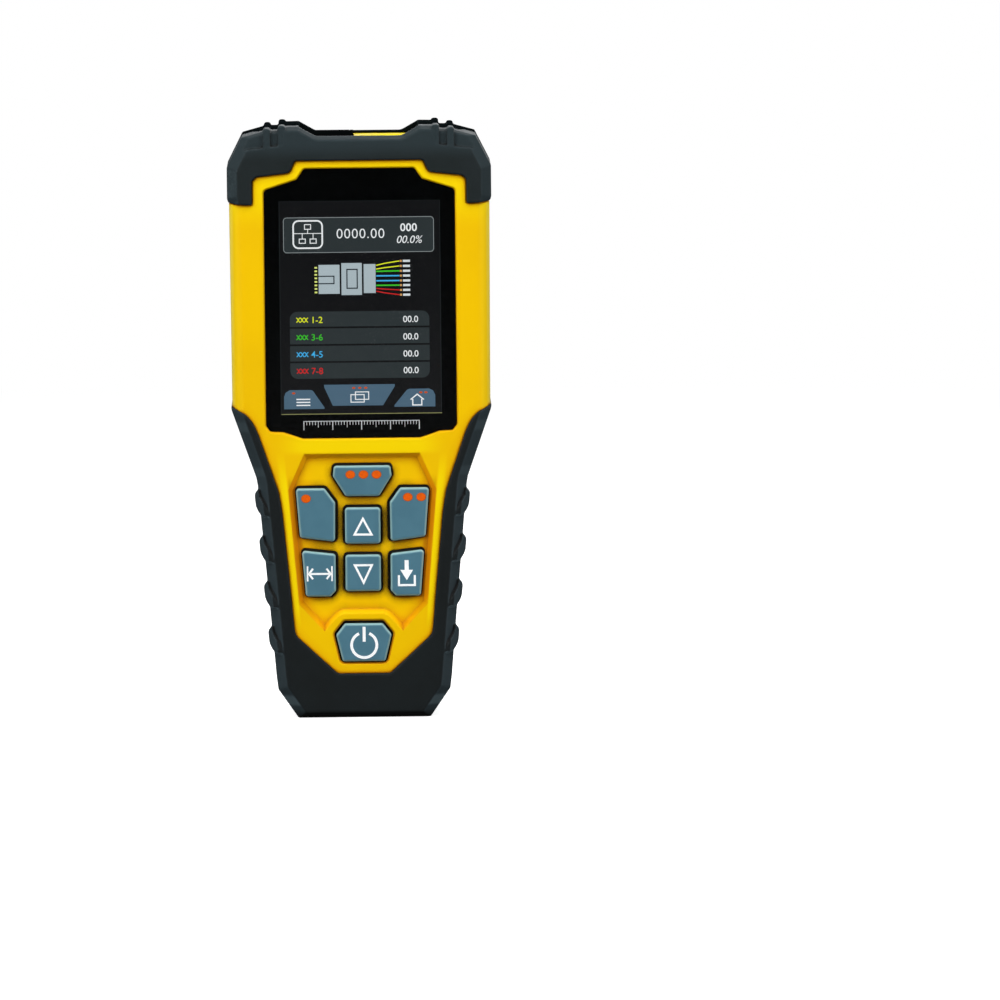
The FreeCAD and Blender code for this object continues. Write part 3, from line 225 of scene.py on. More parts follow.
def rubber(name, dark, light, sides, grain=2.2, depth=0.03, spec=0.18, rough=(0.56, 0.68), crest=None, foot=None, ribs=False, wear_and_highlight=0.5, sheen=0.02, crown=None):
    """Soft black rubber: painted highlights on its upper band and on the sides' bevels, paler edges from speckled wear
    and painted highlight, and painted shade in the hollows.
    """
    g = Graph(name)
    broad = g.noise(0.05, 3, 0.6, 1.7)
    fine = g.noise(grain, 4, 0.65, 5.2)
    pores = g.cells(grain * 1.3)
    base = g.mix(g.span(broad, 0.3, 0.72), dark, light)
    base = g.mix(g.span(fine, 0.5, 0.8, 0, 0.25), base, light)
    # painted highlight: faces turned outwards to the sides are made paler
    outward = g.math("MULTIPLY", g.axis(0, "Normal"), g.math("SIGN", g.axis(0)))
    turned = g.span(outward, 0.12, 0.62)
    base = g.mix(g.math("MULTIPLY", turned, 0.9), base, sides)
    z = g.math("MULTIPLY", g.axis(2), 1000.0)
    up = g.span(g.axis(2, "Normal"), -0.25, 0.25)
    if crest:
        # painted highlight: the upper band is made paler, as light from above falls on it
        raised = g.math("MULTIPLY", g.span(z, crest[0], crest[1]), 0.85)
        base = g.mix(raised, base, sides)
    if crown:
        # painted shade: the lip's top and inner faces are made darker
        inner = g.math("MAXIMUM", g.span(g.axis(2, "Normal"), 0.3, 0.7), g.span(g.axis(1, "Normal"), -0.6, -0.2, 1.0, 0.0))
        base = g.mix(g.math("MULTIPLY", g.math("MULTIPLY", inner, g.span(z, 188.5, 191.0)), 0.95), base, crown)
    if foot:
        # painted shade: darker towards the bottom of the grips
        base = g.mix(g.span(z, foot[0], foot[1], 0.75, 0.0), base, rgb(7, 10, 10))
    shape = g.node("ShaderNodeNewGeometry")
    # speckled wear and painted highlight: convex edges are made paler, in patches
    edge_wear_and_highlight = g.span(shape.outputs["Pointiness"], 0.52, 0.575)
    edge_wear_and_highlight = g.math("MULTIPLY", edge_wear_and_highlight, g.span(g.noise(1.1, 4, 0.7, 9.0), 0.35, 0.7, 0.25, 1.0))
    base = g.mix(g.math("MULTIPLY", edge_wear_and_highlight, wear_and_highlight), base, rgb(66, 79, 83))
    calm = g.math("ADD", g.math("MULTIPLY", up, 0.7), 0.3)
    if ribs:
        # at the ribs' lower ends the painted shade is held back and faces turned down are made paler, a painted light
        # against their real shadow; higher up, a painted shadow darkens the crease under each rib
        beat = g.math("FLOORED_MODULO", g.math("SUBTRACT", 77.3, z), 15.27)
        ends = g.math("MULTIPLY", g.span(beat, 7.8, 9.2), g.span(beat, 11.2, 12.4, 0.92, 0.0))
        calm = g.math("MULTIPLY", calm, g.math("SUBTRACT", 1.0, ends))
        base = g.mix(g.math("MULTIPLY", ends, g.span(g.axis(2, "Normal"), -0.55, -0.08, 1.0, 0.0)), base, rgb(84, 100, 106))
        notch = g.math("MULTIPLY", g.span(beat, 1.5, 3.5), g.span(beat, 6.8, 8.4, 1.0, 0.0))
        base = g.mix(g.math("MULTIPLY", notch, g.span(shape.outputs["Pointiness"], 0.47, 0.498, 0.9, 0.0)), base, rgb(3, 5, 5))
    # painted shade: black in concave creases and hollows
    base = g.mix(g.math("MULTIPLY", g.span(shape.outputs["Pointiness"], 0.43, 0.485, 0.92, 0.0), calm), base, rgb(3, 5, 5))
    base = g.mix(g.math("MULTIPLY", g.span(g.crease(3.6, 8), 0.34, 0.92, 0.94, 0.0), calm), base, rgb(3, 5, 5))
    height = g.math("ADD", g.math("MULTIPLY", fine, 0.7), g.math("MULTIPLY", pores, 0.4))
    g.shader(Base_Color=base, Roughness=g.span(fine, 0.3, 0.75, rough[0], rough[1]), Specular_IOR_Level=spec,
             Sheen_Weight=sheen, Sheen_Roughness=0.6, Normal=g.bump(height, depth, 0.5, g.rounded(0.55)))
    return g.m


def key_silicone():
    """Slate keys: their rounded edges are made paler, a painted highlight, and their sides low down darker, a painted
    shade.
    """
    g = Graph("key_silicone")
    facing = g.math("MULTIPLY", g.axis(1, "Normal"), -1.0)
    edge = g.span(facing, 0.70, 0.9995, 1.0, 0.0, smooth=False)
    broad = g.noise(0.11, 2, 0.5, 2.0)
    fine = g.noise(3.0, 3, 0.6, 4.4)
    base = g.mix(g.span(broad, 0.3, 0.7), rgb(73, 116, 134), rgb(78, 122, 140))
    base = g.mix(g.span(fine, 0.45, 0.8, 0, 0.18), base, rgb(90, 132, 147))
    # painted highlight on the rounded edges
    base = g.mix(edge, base, rgb(148, 188, 190))
    # painted shade on the key's sides low down, by the mat
    deep = g.span(g.math("MULTIPLY", g.axis(1), -1000.0), 16.9, 18.1, 0.92, 0.0)
    base = g.mix(deep, base, rgb(24, 36, 40))
    g.shader(Base_Color=base, Roughness=g.span(fine, 0.3, 0.7, 0.46, 0.56), Specular_IOR_Level=0.25, Normal=g.bump(fine, 0.015, 0.45))
    return g.m


def plain(name, a, b, rough=(0.4, 0.5), grain=2.5, depth=0.01, metallic=0.0, spec=0.4, broad_per_mm=0.08, coat=0.0):
    g = Graph(name)
    broad = g.noise(broad_per_mm, 3, 0.55, 0.9)
    fine = g.noise(grain, 3, 0.6, 2.3)
    base = g.mix(g.span(broad, 0.3, 0.7), a, b)
    base = g.mix(g.span(fine, 0.4, 0.8, 0, 0.2), base, b)
    g.shader(Base_Color=base, Roughness=g.span(fine, 0.3, 0.7, rough[0], rough[1]), Metallic=metallic, Specular_IOR_Level=spec,
             Coat_Weight=coat, Normal=g.bump(fine, depth, 0.5))
    return g.m


def turned_metal(name, a, b, rough=(0.16, 0.3), line=9.0, hollow_darkening=0.0):
    """Plated or turned metal: faint rings along Z and a little tarnish."""
    g = Graph(name)
    rings = g.noise(line, 2, 0.5, 0.4, stretch=(0.04, 0.04, 1.0))
    tarnish = g.noise(0.45, 4, 0.65, 6.0)
    base = g.mix(g.span(tarnish, 0.45, 0.75), a, b)
    if hollow_darkening:
        # darker in its hollows
        base = g.mix(g.span(g.crease(0.7, 6), 0.45, 0.92, hollow_darkening, 0.0), base, rgb(8, 8, 9))
    g.shader(Base_Color=base, Metallic=1.0, Roughness=g.math("ADD", g.span(rings, 0.3, 0.7, rough[0], rough[1]), g.span(tarnish, 0.45, 0.8, 0, 0.12)),
             Normal=g.bump(rings, 0.004, 0.4))
    return g.m


def window_glass():
    g = Graph("window_glass")
    haze = g.noise(0.06, 3, 0.6, 3.0)
    g.shader(Base_Color=g.mix(g.span(haze, 0.35, 0.75), (1, 1, 1, 1), (0.975, 0.985, 0.98, 1)), Roughness=0.0, IOR=1.46, Transmission_Weight=1.0,
             Specular_IOR_Level=0.22)
    return g.m


def ink(name, colour, rough=0.45, lift=0.0, spec=0.15):
    """Printed or painted thin film, slightly uneven."""
    g = Graph(name)
    n = g.noise(1.4, 3, 0.6, 1.1)
    dim = tuple(c * 0.86 for c in colour[:3]) + (1.0,)
    # lift makes the print glow faintly, a painted light
    g.shader(Base_Color=g.mix(g.span(n, 0.35, 0.75), colour, dim), Roughness=g.span(n, 0.3, 0.7, rough, rough + 0.1), Specular_IOR_Level=spec,
             Emission_Color=colour, Emission_Strength=lift)
    return g.m


def lit(name, colour, strength=1.0):
    """Lit part of the display: colour by emission, with the faint grid of its pixels."""
    g = Graph(name)
    x = g.math("MULTIPLY", g.axis(0), 1000.0 / 0.222)
    z = g.math("MULTIPLY", g.axis(2), 1000.0 / 0.222)
    gap = g.math("MINIMUM", g.span(g.math("PINGPONG", x, 0.5), 0.0, 0.10, 0.90, 1.0), g.span(g.math("PINGPONG", z, 0.5), 0.0, 0.10, 0.90, 1.0))
    n = g.noise(0.02, 2, 0.5)
    level = g.math("MULTIPLY", gap, g.span(n, 0.3, 0.7, 0.97, 1.03))
    tone = g.mix(level, (0, 0, 0, 1), colour)
    g.shader(Base_Color=(0.001, 0.001, 0.001, 1), Roughness=0.7, Specular_IOR_Level=0.04, Emission_Color=tone, Emission_Strength=strength)
    return g.m


def board_green():
    g = Graph("solder_mask")
    tracks = g.noise(0.9, 0, 0.5, 4.0, stretch=(1, 1, 0.12))
    pads = g.cells(0.32)
    base = g.mix(g.span(tracks, 0.52, 0.56), rgb(14, 74, 38), rgb(22, 104, 52))
    base = g.mix(g.span(pads, 0.10, 0.13, 1, 0), base, rgb(196, 160, 90))
    g.shader(Base_Color=base, Roughness=g.span(tracks, 0.4, 0.6, 0.3, 0.42), Specular_IOR_Level=0.5, Normal=g.bump(tracks, 0.02, 0.5))
    return g.m


def cell_jacket():
    """Unmarked battery cell: dark sleeve, copper-coloured shoulder at the button end, bright metal ends."""
    g = Graph("cell_jacket")
    z = g.math("MULTIPLY", g.axis(2), 1000.0)
    x = g.math("MULTIPLY", g.axis(0), 1000.0)
    middle = g.span(g.math("ABSOLUTE", x), 7.4, 7.8, 1.0, 0.0)
    up = g.span(z, 79.0, 79.2)
    down = g.span(z, 54.0, 54.2, 1.0, 0.0)
    band = g.math("ADD", g.math("MULTIPLY", up, g.math("SUBTRACT", 1.0, middle)), g.math("MULTIPLY", down, middle))
    n = g.noise(1.2, 3, 0.6, 1.0)
    base = g.mix(band, rgb(34, 40, 46), rgb(190, 122, 62))
    ends = g.math("MAXIMUM", g.span(z, 90.6, 90.9), g.span(z, 42.5, 42.8, 1.0, 0.0))
    base = g.mix(ends, base, rgb(196, 196, 192))
    base = g.mix(g.span(n, 0.45, 0.8, 0, 0.15), base, rgb(120, 124, 126))
    g.shader(Base_Color=base, Metallic=g.math("MAXIMUM", ends, g.math("MULTIPLY", band, 0.8)), Roughness=g.span(n, 0.3, 0.7, 0.26, 0.36), Normal=g.bump(n, 0.01, 0.4))
    return g.m


YELLOW = shell_plastic()
# the cup's yellow is a paler, lemon copy of the shell's: painted light, as on the lit top end
YELLOW_CUP = shell_plastic("moulded_yellow_cup", False, rgb(255, 236, 6), rgb(250, 230, 4))
RUBBER = rubber("guard_rubber", rgb(21, 29, 30), rgb(26, 34, 36), rgb(38, 50, 54), crest=(185.5, 192.5))
# the rear guard's rubber carries painted shade on its lip
RUBBER_REAR = rubber("guard_rubber_rear", rgb(21, 29, 30), rgb(26, 34, 36), rgb(38, 50, 54), crest=(185.5, 192.5), crown=rgb(9, 13, 14), spec=0.0, sheen=0.0, wear_and_highlight=0.15)
GRIP = rubber("grip_rubber", rgb(13, 19, 20), rgb(17, 24, 26), rgb(48, 60, 65), foot=(0.4, 3.4), ribs=True, wear_and_highlight=0.18)
KEY = key_silicone()
GLASS = window_glass()
TRIM = plain("trim_black", rgb(5, 7, 7), rgb(9, 11, 12), (0.65, 0.75), 3.0, 0.02, spec=0.0)
DOOR = plain("door_black", rgb(22, 27, 28), rgb(31, 37, 39), (0.50, 0.62), 2.2, 0.03, broad_per_mm=0.05)
DARK = plain("inner_dark", rgb(16, 17, 18), rgb(27, 28, 30), (0.5, 0.62))
GASKET = plain("gasket_foam", rgb(9, 10, 10), rgb(16, 17, 18), (0.75, 0.85), 4.0, 0.03)
MAT = plain("mat_rubber", rgb(26, 28, 24), rgb(38, 40, 34), (0.6, 0.7), 2.0, 0.03)
RIBBON = plain("ribbon_amber", rgb(170, 92, 26), rgb(196, 116, 40), (0.3, 0.4))
WHITE = plain("insulator_white", rgb(228, 226, 216), rgb(240, 238, 230), (0.38, 0.48))
NICKEL = turned_metal("nickel_plate", rgb(198, 195, 188), rgb(150, 146, 138))
BRASS = turned_metal("contact_brass", rgb(226, 186, 104), rgb(196, 150, 78))
STEEL = turned_metal("screw_steel", rgb(134, 136, 138), rgb(96, 98, 100), (0.28, 0.42), 14.0, 0.95)
CHIP = plain("chip_epoxy", rgb(18, 18, 20), rgb(34, 34, 36), (0.55, 0.7), 5.0, 0.01)
BOARD = board_green()
CELL = cell_jacket()

for node, m in {
    "front_housing": YELLOW, "rear_housing": YELLOW, "jack_well": YELLOW_CUP, "top_guard_front": RUBBER, "top_guard_rear": RUBBER_REAR,
    "handle_grip_front": GRIP, "handle_grip_rear": GRIP, "lens_gasket": GASKET, "display_lens": GLASS, "display_frame": DARK,
    "display_panel": DARK, "display_ribbon": RIBBON, "main_board": BOARD, "board_chips": CHIP, "buzzer": DARK, "tact_switches": DARK,
    "keypad_mat": MAT, "coax_jack": NICKEL, "coax_insulator": WHITE, "coax_contact": BRASS, "coax_nut": NICKEL, "socket_frame": TRIM,
    "modular_socket": DARK, "socket_contacts": BRASS, "socket_cover": TRIM, "battery_door": DOOR, "door_screw": STEEL,
    "battery_cells": CELL, "battery_contacts": NICKEL, "battery_springs": NICKEL, "case_screws": STEEL, "board_screws": STEEL,
    **{k: KEY for k in KEYS},
}.items():
    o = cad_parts[node]
    o.data.materials.clear()
    o.data.materials.append(m)
    for face in o.data.polygons:
        face.material_index = 0


# ---------------------------------------------------------------- pieces made from a CAD node's own form
def finished(ob, name, m, sharp=None):
    """Applies an object's modifiers, brings it back to metres, and returns it as a plain mesh object."""
    bpy.context.view_layer.update()
    deps = bpy.context.evaluated_depsgraph_get()
    mesh = bpy.data.meshes.new_from_object(ob.evaluated_get(deps), preserve_all_data_layers=True, depsgraph=deps)
    bpy.data.objects.remove(ob)
    mesh.transform(Matrix.Scale(MM, 4))
    mesh.name = name
    mesh.materials.clear()
    mesh.materials.append(m)
    if not mesh.has_custom_normals:
        for face in mesh.polygons:
            face.use_smooth = True
    for face in mesh.polygons:
        face.material_index = 0
    if sharp is not None:
        mesh.set_sharp_from_angle(angle=math.radians(sharp))
    new = bpy.data.objects.new(name, mesh)
    bpy.context.scene.collection.objects.link(new)
    return new


def in_mm(node):
    """A working copy of a node's mesh, in millimetres, with its vertices joined."""
    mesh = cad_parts[node].data.copy()
    mesh.materials.clear()
    b = bmesh.new()
    b.from_mesh(mesh)
    bmesh.ops.scale(b, vec=(1000.0, 1000.0, 1000.0), verts=b.verts)
    bmesh.ops.remove_doubles(b, verts=b.verts, dist=0.002)
    return mesh, b


def edged(node, name, m, body, width=0.25, segments=2, angle=32):
    """The node with its edges broken by a small round, as a moulded piece has."""
    mesh, b = in_mm(node)
    bmesh.ops.dissolve_limit(b, angle_limit=math.radians(0.4), verts=b.verts, edges=b.edges)
    bmesh.ops.dissolve_degenerate(b, edges=b.edges, dist=0.005)
    b.to_mesh(mesh)
    b.free()
    ob = bpy.data.objects.new(name + "_work", mesh)
    bpy.context.scene.collection.objects.link(ob)
    mod = ob.modifiers.new("edge", "BEVEL")
    mod.width = width
    mod.segments = segments
    mod.limit_method = "ANGLE"
    mod.angle_limit = math.radians(angle)
    mod.use_clamp_overlap = True
    mod.miter_outer = "MITER_ARC"
    mod.harden_normals = False
    for face in mesh.polygons:
        face.use_smooth = True
    flat = ob.modifiers.new("normals", "WEIGHTED_NORMAL")
    flat.mode = "FACE_AREA"
    flat.weight = 90
    new = finished(ob, name, m)
    place(new, body, node)
    return new


def softened(node, name, m, body, voxel=0.42, rounds=5, keep=None):
    """The node as soft moulded rubber: every edge and corner rounded over."""
    mesh, b = in_mm(node)
    b.to_mesh(mesh)
    b.free()
    ob = bpy.data.objects.new(name + "_work", mesh)
    bpy.context.scene.collection.objects.link(ob)
    mod = ob.modifiers.new("skin", "REMESH")
    mod.mode = "VOXEL"
    mod.voxel_size = voxel
    mod.adaptivity = 0.0
    ease = ob.modifiers.new("ease", "SMOOTH")
    ease.factor = 0.5
    ease.iterations = rounds
    if keep:
        thin = ob.modifiers.new("thin", "DECIMATE")
        thin.ratio = keep
    new = finished(ob, name, m)
    place(new, body, node)
    return new


def place(ob, body, node=None):
    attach(ob, body)
    if node:
        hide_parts(node)


edged("front_housing", "front_shell", YELLOW, "case", 0.3, 2)
edged("rear_housing", "rear_shell", YELLOW, "case", 0.3, 2)
softened("top_guard_front", "guard_front", RUBBER, "case", 0.28, 3)
softened("top_guard_rear", "guard_rear", RUBBER_REAR, "case", 0.28, 3)
softened("handle_grip_front", "grip_front", GRIP, "case", 0.34, 3)
softened("handle_grip_rear", "grip_rear", GRIP, "case", 0.34, 3)
edged("battery_door", "rear_door", DOOR, "battery_door", 0.25, 2)
edged("socket_cover", "dust_cover", TRIM, "socket_cover", 0.2, 2)
edged("socket_frame", "port_frame", TRIM, "case", 0.15, 2)
edged("jack_well", "jack_cup", YELLOW_CUP, "case", 0.15, 2)
edged("coax_jack", "bayonet_jack", NICKEL, "case", 0.1, 2)
edged("coax_nut", "jack_nut", NICKEL, "case", 0.2, 2)
for k in KEYS:
    edged(k, k.replace("key_", "cap_"), KEY, k, 0.12, 2)


# ---------------------------------------------------------------- thin flat shapes: print on the keys and the window, and the display's picture
class Flat:
    """Thin closed plates in one plane that looks towards -Y. Outlines are (x, z) in millimetres."""

    def __init__(self, f, thick=0.05):
        self.b = bmesh.new()
        self.f0, self.f1 = f, f + thick

    def _v(self, x, z, f):
        return self.b.verts.new((x * MM, -f * MM, z * MM))

    def poly(self, points):
        area = sum(points[i][0] * points[(i + 1) % len(points)][1] - points[(i + 1) % len(points)][0] * points[i][1] for i in range(len(points)))
        if area < 0:
            points = list(reversed(points))
        front = [self._v(x, z, self.f1) for x, z in points]
        back = [self._v(x, z, self.f0) for x, z in points]
        self.b.faces.new(front)
        self.b.faces.new(list(reversed(back)))
        n = len(points)
        for i in range(n):
            j = (i + 1) % n
            self.b.faces.new((front[i], back[i], back[j], front[j]))
        return self

    def ring(self, outer, inner):
        n = len(outer)
        fo, fi = [self._v(x, z, self.f1) for x, z in outer], [self._v(x, z, self.f1) for x, z in inner]
        bo, bi = [self._v(x, z, self.f0) for x, z in outer], [self._v(x, z, self.f0) for x, z in inner]
        for i in range(n):
            j = (i + 1) % n
            self.b.faces.new((fo[i], fo[j], fi[j], fi[i]))
            self.b.faces.new((bo[j], bo[i], bi[i], bi[j]))
            self.b.faces.new((fo[j], fo[i], bo[i], bo[j]))
            self.b.faces.new((fi[i], fi[j], bi[j], bi[i]))
        return self

    def line(self, points, width, closed=False):
        """A stroke of even width with mitred corners."""
        n = len(points)
        left, right = [], []
        for i in range(n):
            p = Vector(points[i])
            a = Vector(points[i - 1]) if (i > 0 or closed) else None
            c = Vector(points[(i + 1) % n]) if (i < n - 1 or closed) else None
            d0 = (p - a).normalized() if a is not None else (c - p).normalized()
            d1 = (c - p).normalized() if c is not None else d0
            n0, n1 = Vector((-d0.y, d0.x)), Vector((-d1.y, d1.x))
            m = (n0 + n1).normalized()
            k = width / 2 / max(0.3, m.dot(n0))
            left.append(tuple(p + m * k))
            right.append(tuple(p - m * k))
        if closed:
            return self.ring(left, right)
        return self.poly(left + right[::-1])

    def disc(self, x, z, rx, rz=None, n=40):
        rz = rz or rx
        return self.poly([(x + rx * math.cos(2 * math.pi * i / n), z + rz * math.sin(2 * math.pi * i / n)) for i in range(n)])

    def text(self, words, x, z, height, align="CENTER", lean=0.0, heavy=0.0, space=1.0):
        """Numerals whose figures are height tall, on the baseline z."""
        c = bpy.data.curves.new("figures", "FONT")
        c.body = "0"
        c.size = 1.0
        c.resolution_u = 6
        ob = bpy.data.objects.new("figures", c)
        bpy.context.scene.collection.objects.link(ob)
        bpy.context.view_layer.update()
        tall = ob.dimensions.y
        c.body = words
        c.align_x = align
        c.offset = heavy
        c.shear = lean
        c.extrude = 0.5
        c.space_character = space
        bpy.context.view_layer.update()
        deps = bpy.context.evaluated_depsgraph_get()
        mesh = bpy.data.meshes.new_from_object(ob.evaluated_get(deps))
        k = height / tall
        mid, half = (self.f0 + self.f1) / 2, (self.f1 - self.f0) / 2
        for v in mesh.vertices:
            u, w, t = v.co
            v.co = ((x + u * k) * MM, -(mid + t * 2 * half) * MM, (z + w * k) * MM)
        self.b.from_mesh(mesh)
        bpy.data.objects.remove(ob)
        return self

    def done(self, name, m, body):
        bmesh.ops.remove_doubles(self.b, verts=self.b.verts, dist=1e-8)
        bmesh.ops.triangulate(self.b, faces=self.b.faces)
        bmesh.ops.recalc_face_normals(self.b, faces=self.b.faces)
        mesh = bpy.data.meshes.new(name)
        self.b.to_mesh(mesh)
        self.b.free()
        mesh.materials.append(m)
        ob = bpy.data.objects.new(name, mesh)
        bpy.context.scene.collection.objects.link(ob)
        place(ob, body, None)
        return ob


def rect(x0, x1, z0, z1):
    return [(x0, z0), (x1, z0), (x1, z1), (x0, z1)]


def round_rect(x0, x1, z0, z1, r, n=8):
    out = []
    for cx, cz, a in ((x1 - r, z0 + r, -90), (x1 - r, z1 - r, 0), (x0 + r, z1 - r, 90), (x0 + r, z0 + r, 180)):
        for i in range(n + 1):
            t = math.radians(a + 90.0 * i / n)
            out.append((cx + r * math.cos(t), cz + r * math.sin(t)))
    return out


def soft_corners(points, r, n=5):
    """An outline with each corner rounded."""
    out = []
    for i in range(len(points)):
        p, a, b = Vector(points[i]), Vector(points[i - 1]), Vector(points[(i + 1) % len(points)])
        u, v = (a - p), (b - p)
        t = min(r, u.length * 0.45, v.length * 0.45)
        s, e = p + u.normalized() * t, p + v.normalized() * t
        for k in range(n + 1):
            w = k / n
            out.append(tuple(s * (1 - w) ** 2 + p * 2 * w * (1 - w) + e * w ** 2))
    return out


# --- print on the keys
KEY_FACE = 18.9
# the white print glows faintly: painted light
PRINT_WHITE = ink("print_white", rgb(250, 252, 253), 0.5, 0.14)
PRINT_ORANGE = ink("print_orange", rgb(236, 94, 0), 0.55)
PRINT_RUST = ink("print_rust", rgb(176, 88, 40), 0.5)


def dots(name, body, places):
    s = Flat(KEY_FACE - 0.01, 0.09)
    for x, z in places:
        s.disc(x, z + 0.3, 1.42, 1.22)
    s.done(name, PRINT_ORANGE, body)
    s = Flat(KEY_FACE - 0.01, 0.05)
    for x, z in places:
        s.disc(x, z + 0.3, 1.66, 1.44)
    s.done(name + "_edge", PRINT_RUST, body)


dots("dots_center", "key_menu_center", [(-3.95, 81.2), (0.42, 81.2), (4.75, 81.15)])
dots("dot_left", "key_menu_left", [(-18.8, 73.3)])
dots("dots_right", "key_menu_right", [(15.1, 73.5), (19.55, 73.5)])


def triangle(name, body, a, b, c, width):
    s = Flat(KEY_FACE - 0.01, 0.07)
    s.line([a, b, c], width, closed=True)
    s.done(name, PRINT_WHITE, body)


triangle("sign_up", "key_up", (0.08, 66.7), (-2.75, 61.45), (2.9, 61.4), 0.7)
triangle("sign_down", "key_down", (0.12, 45.35), (2.9, 51.15), (-2.75, 51.15), 0.7)

s = Flat(KEY_FACE - 0.01, 0.07)
for x in (-18.55, -10.4):
    s.poly(rect(x - 0.25, x + 0.25, 45.95, 50.95))
s.poly(rect(-17.9, -11.05, 48.08, 48.72))
for x, d in ((-18.2, 1), (-10.75, -1)):
    s.line([(x + d * 1.45, 50.15), (x + d * 0.15, 48.4), (x + d * 1.45, 46.65)], 0.66)
s.done("sign_measure", PRINT_WHITE, "key_measure")

s = Flat(KEY_FACE - 0.01, 0.07)
s.poly([(13.8, 52.7), (15.15, 52.7), (15.15, 49.45), (16.6, 49.45), (14.48, 46.0), (12.35, 49.45), (13.8, 49.45)])
s.poly([(11.5, 47.7), (12.2, 47.7), (12.2, 44.7), (16.8, 44.7), (16.8, 47.7), (17.5, 47.7), (17.5, 44.0), (11.5, 44.0)])
s.done("sign_save", PRINT_WHITE, "key_save")

s = Flat(19.59, 0.07)
arc = [(0.07 + 4.2 * math.sin(math.radians(a)), 24.5 + 4.2 * math.cos(math.radians(a))) for a in range(24, 337, 6)]
s.line(arc, 0.92)
s.poly(rect(-0.43, 0.57, 25.6, 30.6))
s.done("sign_power", PRINT_WHITE, "key_power")

# --- window print: black round the lit area, a plain scale under it
WINDOW = [(0, 93.7), (19.5, 93.7), (26.0, 95.9), (30.3, 96.1), (31.7, 98.0), (31.7, 176.35), (20.8, 179.8), (18.3, 183.45), (0, 183.45)]
BLACK = plain("window_black", rgb(1, 3, 4), rgb(3, 5, 6), (0.7, 0.8), 1.5, 0.0, spec=0.03)
X0, X1, Z0, Z1 = -26.8, 26.8, 101.5, 172.7
s = Flat(17.29, 0.03)
right = [(x, z) for x, z in WINDOW]
s.poly([(x, z) for x, z in WINDOW if z < 97] [:1] + [(19.5, 93.75), (26.0, 95.95), (30.25, 96.15), (31.6, 98.0), (31.6, Z0), (-31.6, Z0), (-31.6, 98.0), (-30.25, 96.15), (-26.0, 95.95), (-19.5, 93.75)])
s.poly([(-31.6, Z1), (31.6, Z1), (31.6, 175.3), (31.25, 176.05), (30.6, 176.5), (21.3, 179.5), (20.6, 179.9), (18.5, 182.9), (17.7, 183.35), (-17.7, 183.35), (-18.5, 182.9), (-20.6, 179.9), (-21.3, 179.5), (-30.6, 176.5), (-31.25, 176.05), (-31.6, 175.3)])
s.poly(rect(X1, 31.6, Z0, Z1))
s.poly(rect(-31.6, X0, Z0, Z1))
s.done("window_print", BLACK, "case")

s = Flat(17.31, 0.03)
for i in range(41):
    x = -19.2 + i * 0.96
    tall = 2.9 if i % 10 == 0 else (2.1 if i % 5 == 0 else 1.25)
    wide = 0.30 if i % 10 == 0 else 0.2
    s.poly(rect(x - wide / 2, x + wide / 2, 99.3 - tall, 99.3))
s.poly(rect(-19.35, 19.35, 99.2, 99.42))
# the scale's print glows faintly: painted light
s.done("window_scale", ink("print_grey_white", rgb(222, 227, 230), 0.5, 0.25), "case")

# --- what the display shows
P = 15.71
s = Flat(P, 0.02)
s.poly(rect(X0 - 0.1, X1 + 0.1, Z0 - 0.1, Z1 + 0.1))
s.done("screen_ground", lit("lit_ground", rgb(17, 18, 20)), "case")
s = Flat(P + 0.02, 0.02)
s.poly(round_rect(-25.4, 24.7, 155.35, 167.2, 1.2))
z_rows = [113.4, 118.95, 124.65, 130.45, 135.8]
table = round_rect(-23.5, 22.9, 113.4, 135.8, 2.5)
s.poly(table)
s.done("screen_panels", lit("lit_panel", rgb(45, 52, 54)), "case")
s = Flat(P + 0.04, 0.02)
s.ring(round_rect(-25.4, 24.7, 155.35, 167.2, 1.2), round_rect(-25.18, 24.48, 155.57, 166.98, 1.0))
s.done("screen_frame_line", lit("lit_grey_line", rgb(134, 142, 144)), "case")
s = Flat(P + 0.04, 0.02)
for z in z_rows[1:4]:
    s.poly(rect(-23.5, 22.9, z - 0.28, z + 0.28))
s.done("screen_row_lines", lit("lit_row_line", rgb(13, 14, 16)), "case")

TAB = lit("lit_tab", rgb(75, 102, 122))
s = Flat(P + 0.02, 0.02)
s.poly([(-25.7, 103.3), (-12.3, 103.3), (-12.3, 103.8), (-16.1, 109.4), (-16.9, 109.65), (-23.8, 109.65), (-25.2, 108.8), (-25.7, 107.4)])
s.poly([(-9.5, 104.3), (7.2, 104.3), (11.15, 110.6), (11.15, 111.35), (-12.35, 111.35), (-12.35, 110.6)])
s.poly([(11.0, 103.75), (24.6, 103.75), (24.6, 107.6), (23.9, 109.1), (22.6, 109.75), (16.0, 109.75), (15.2, 109.4), (11.0, 104.3)])
s.done("screen_tabs", TAB, "case")

WHITE_LIT = lit("lit_white", rgb(238, 242, 244))
ORANGE_LIT = lit("lit_orange", rgb(196, 78, 30))
s = Flat(P + 0.04, 0.02)
for x, z in ((-22.5, 108.6), (-2.5, 110.2), (-0.5, 110.2), (1.5, 110.2), (19.8, 108.5), (21.5, 108.5)):
    s.disc(x, z, 0.56, 0.34, 20)
s.done("screen_tab_dots", ORANGE_LIT, "case")

s = Flat(P + 0.04, 0.02)
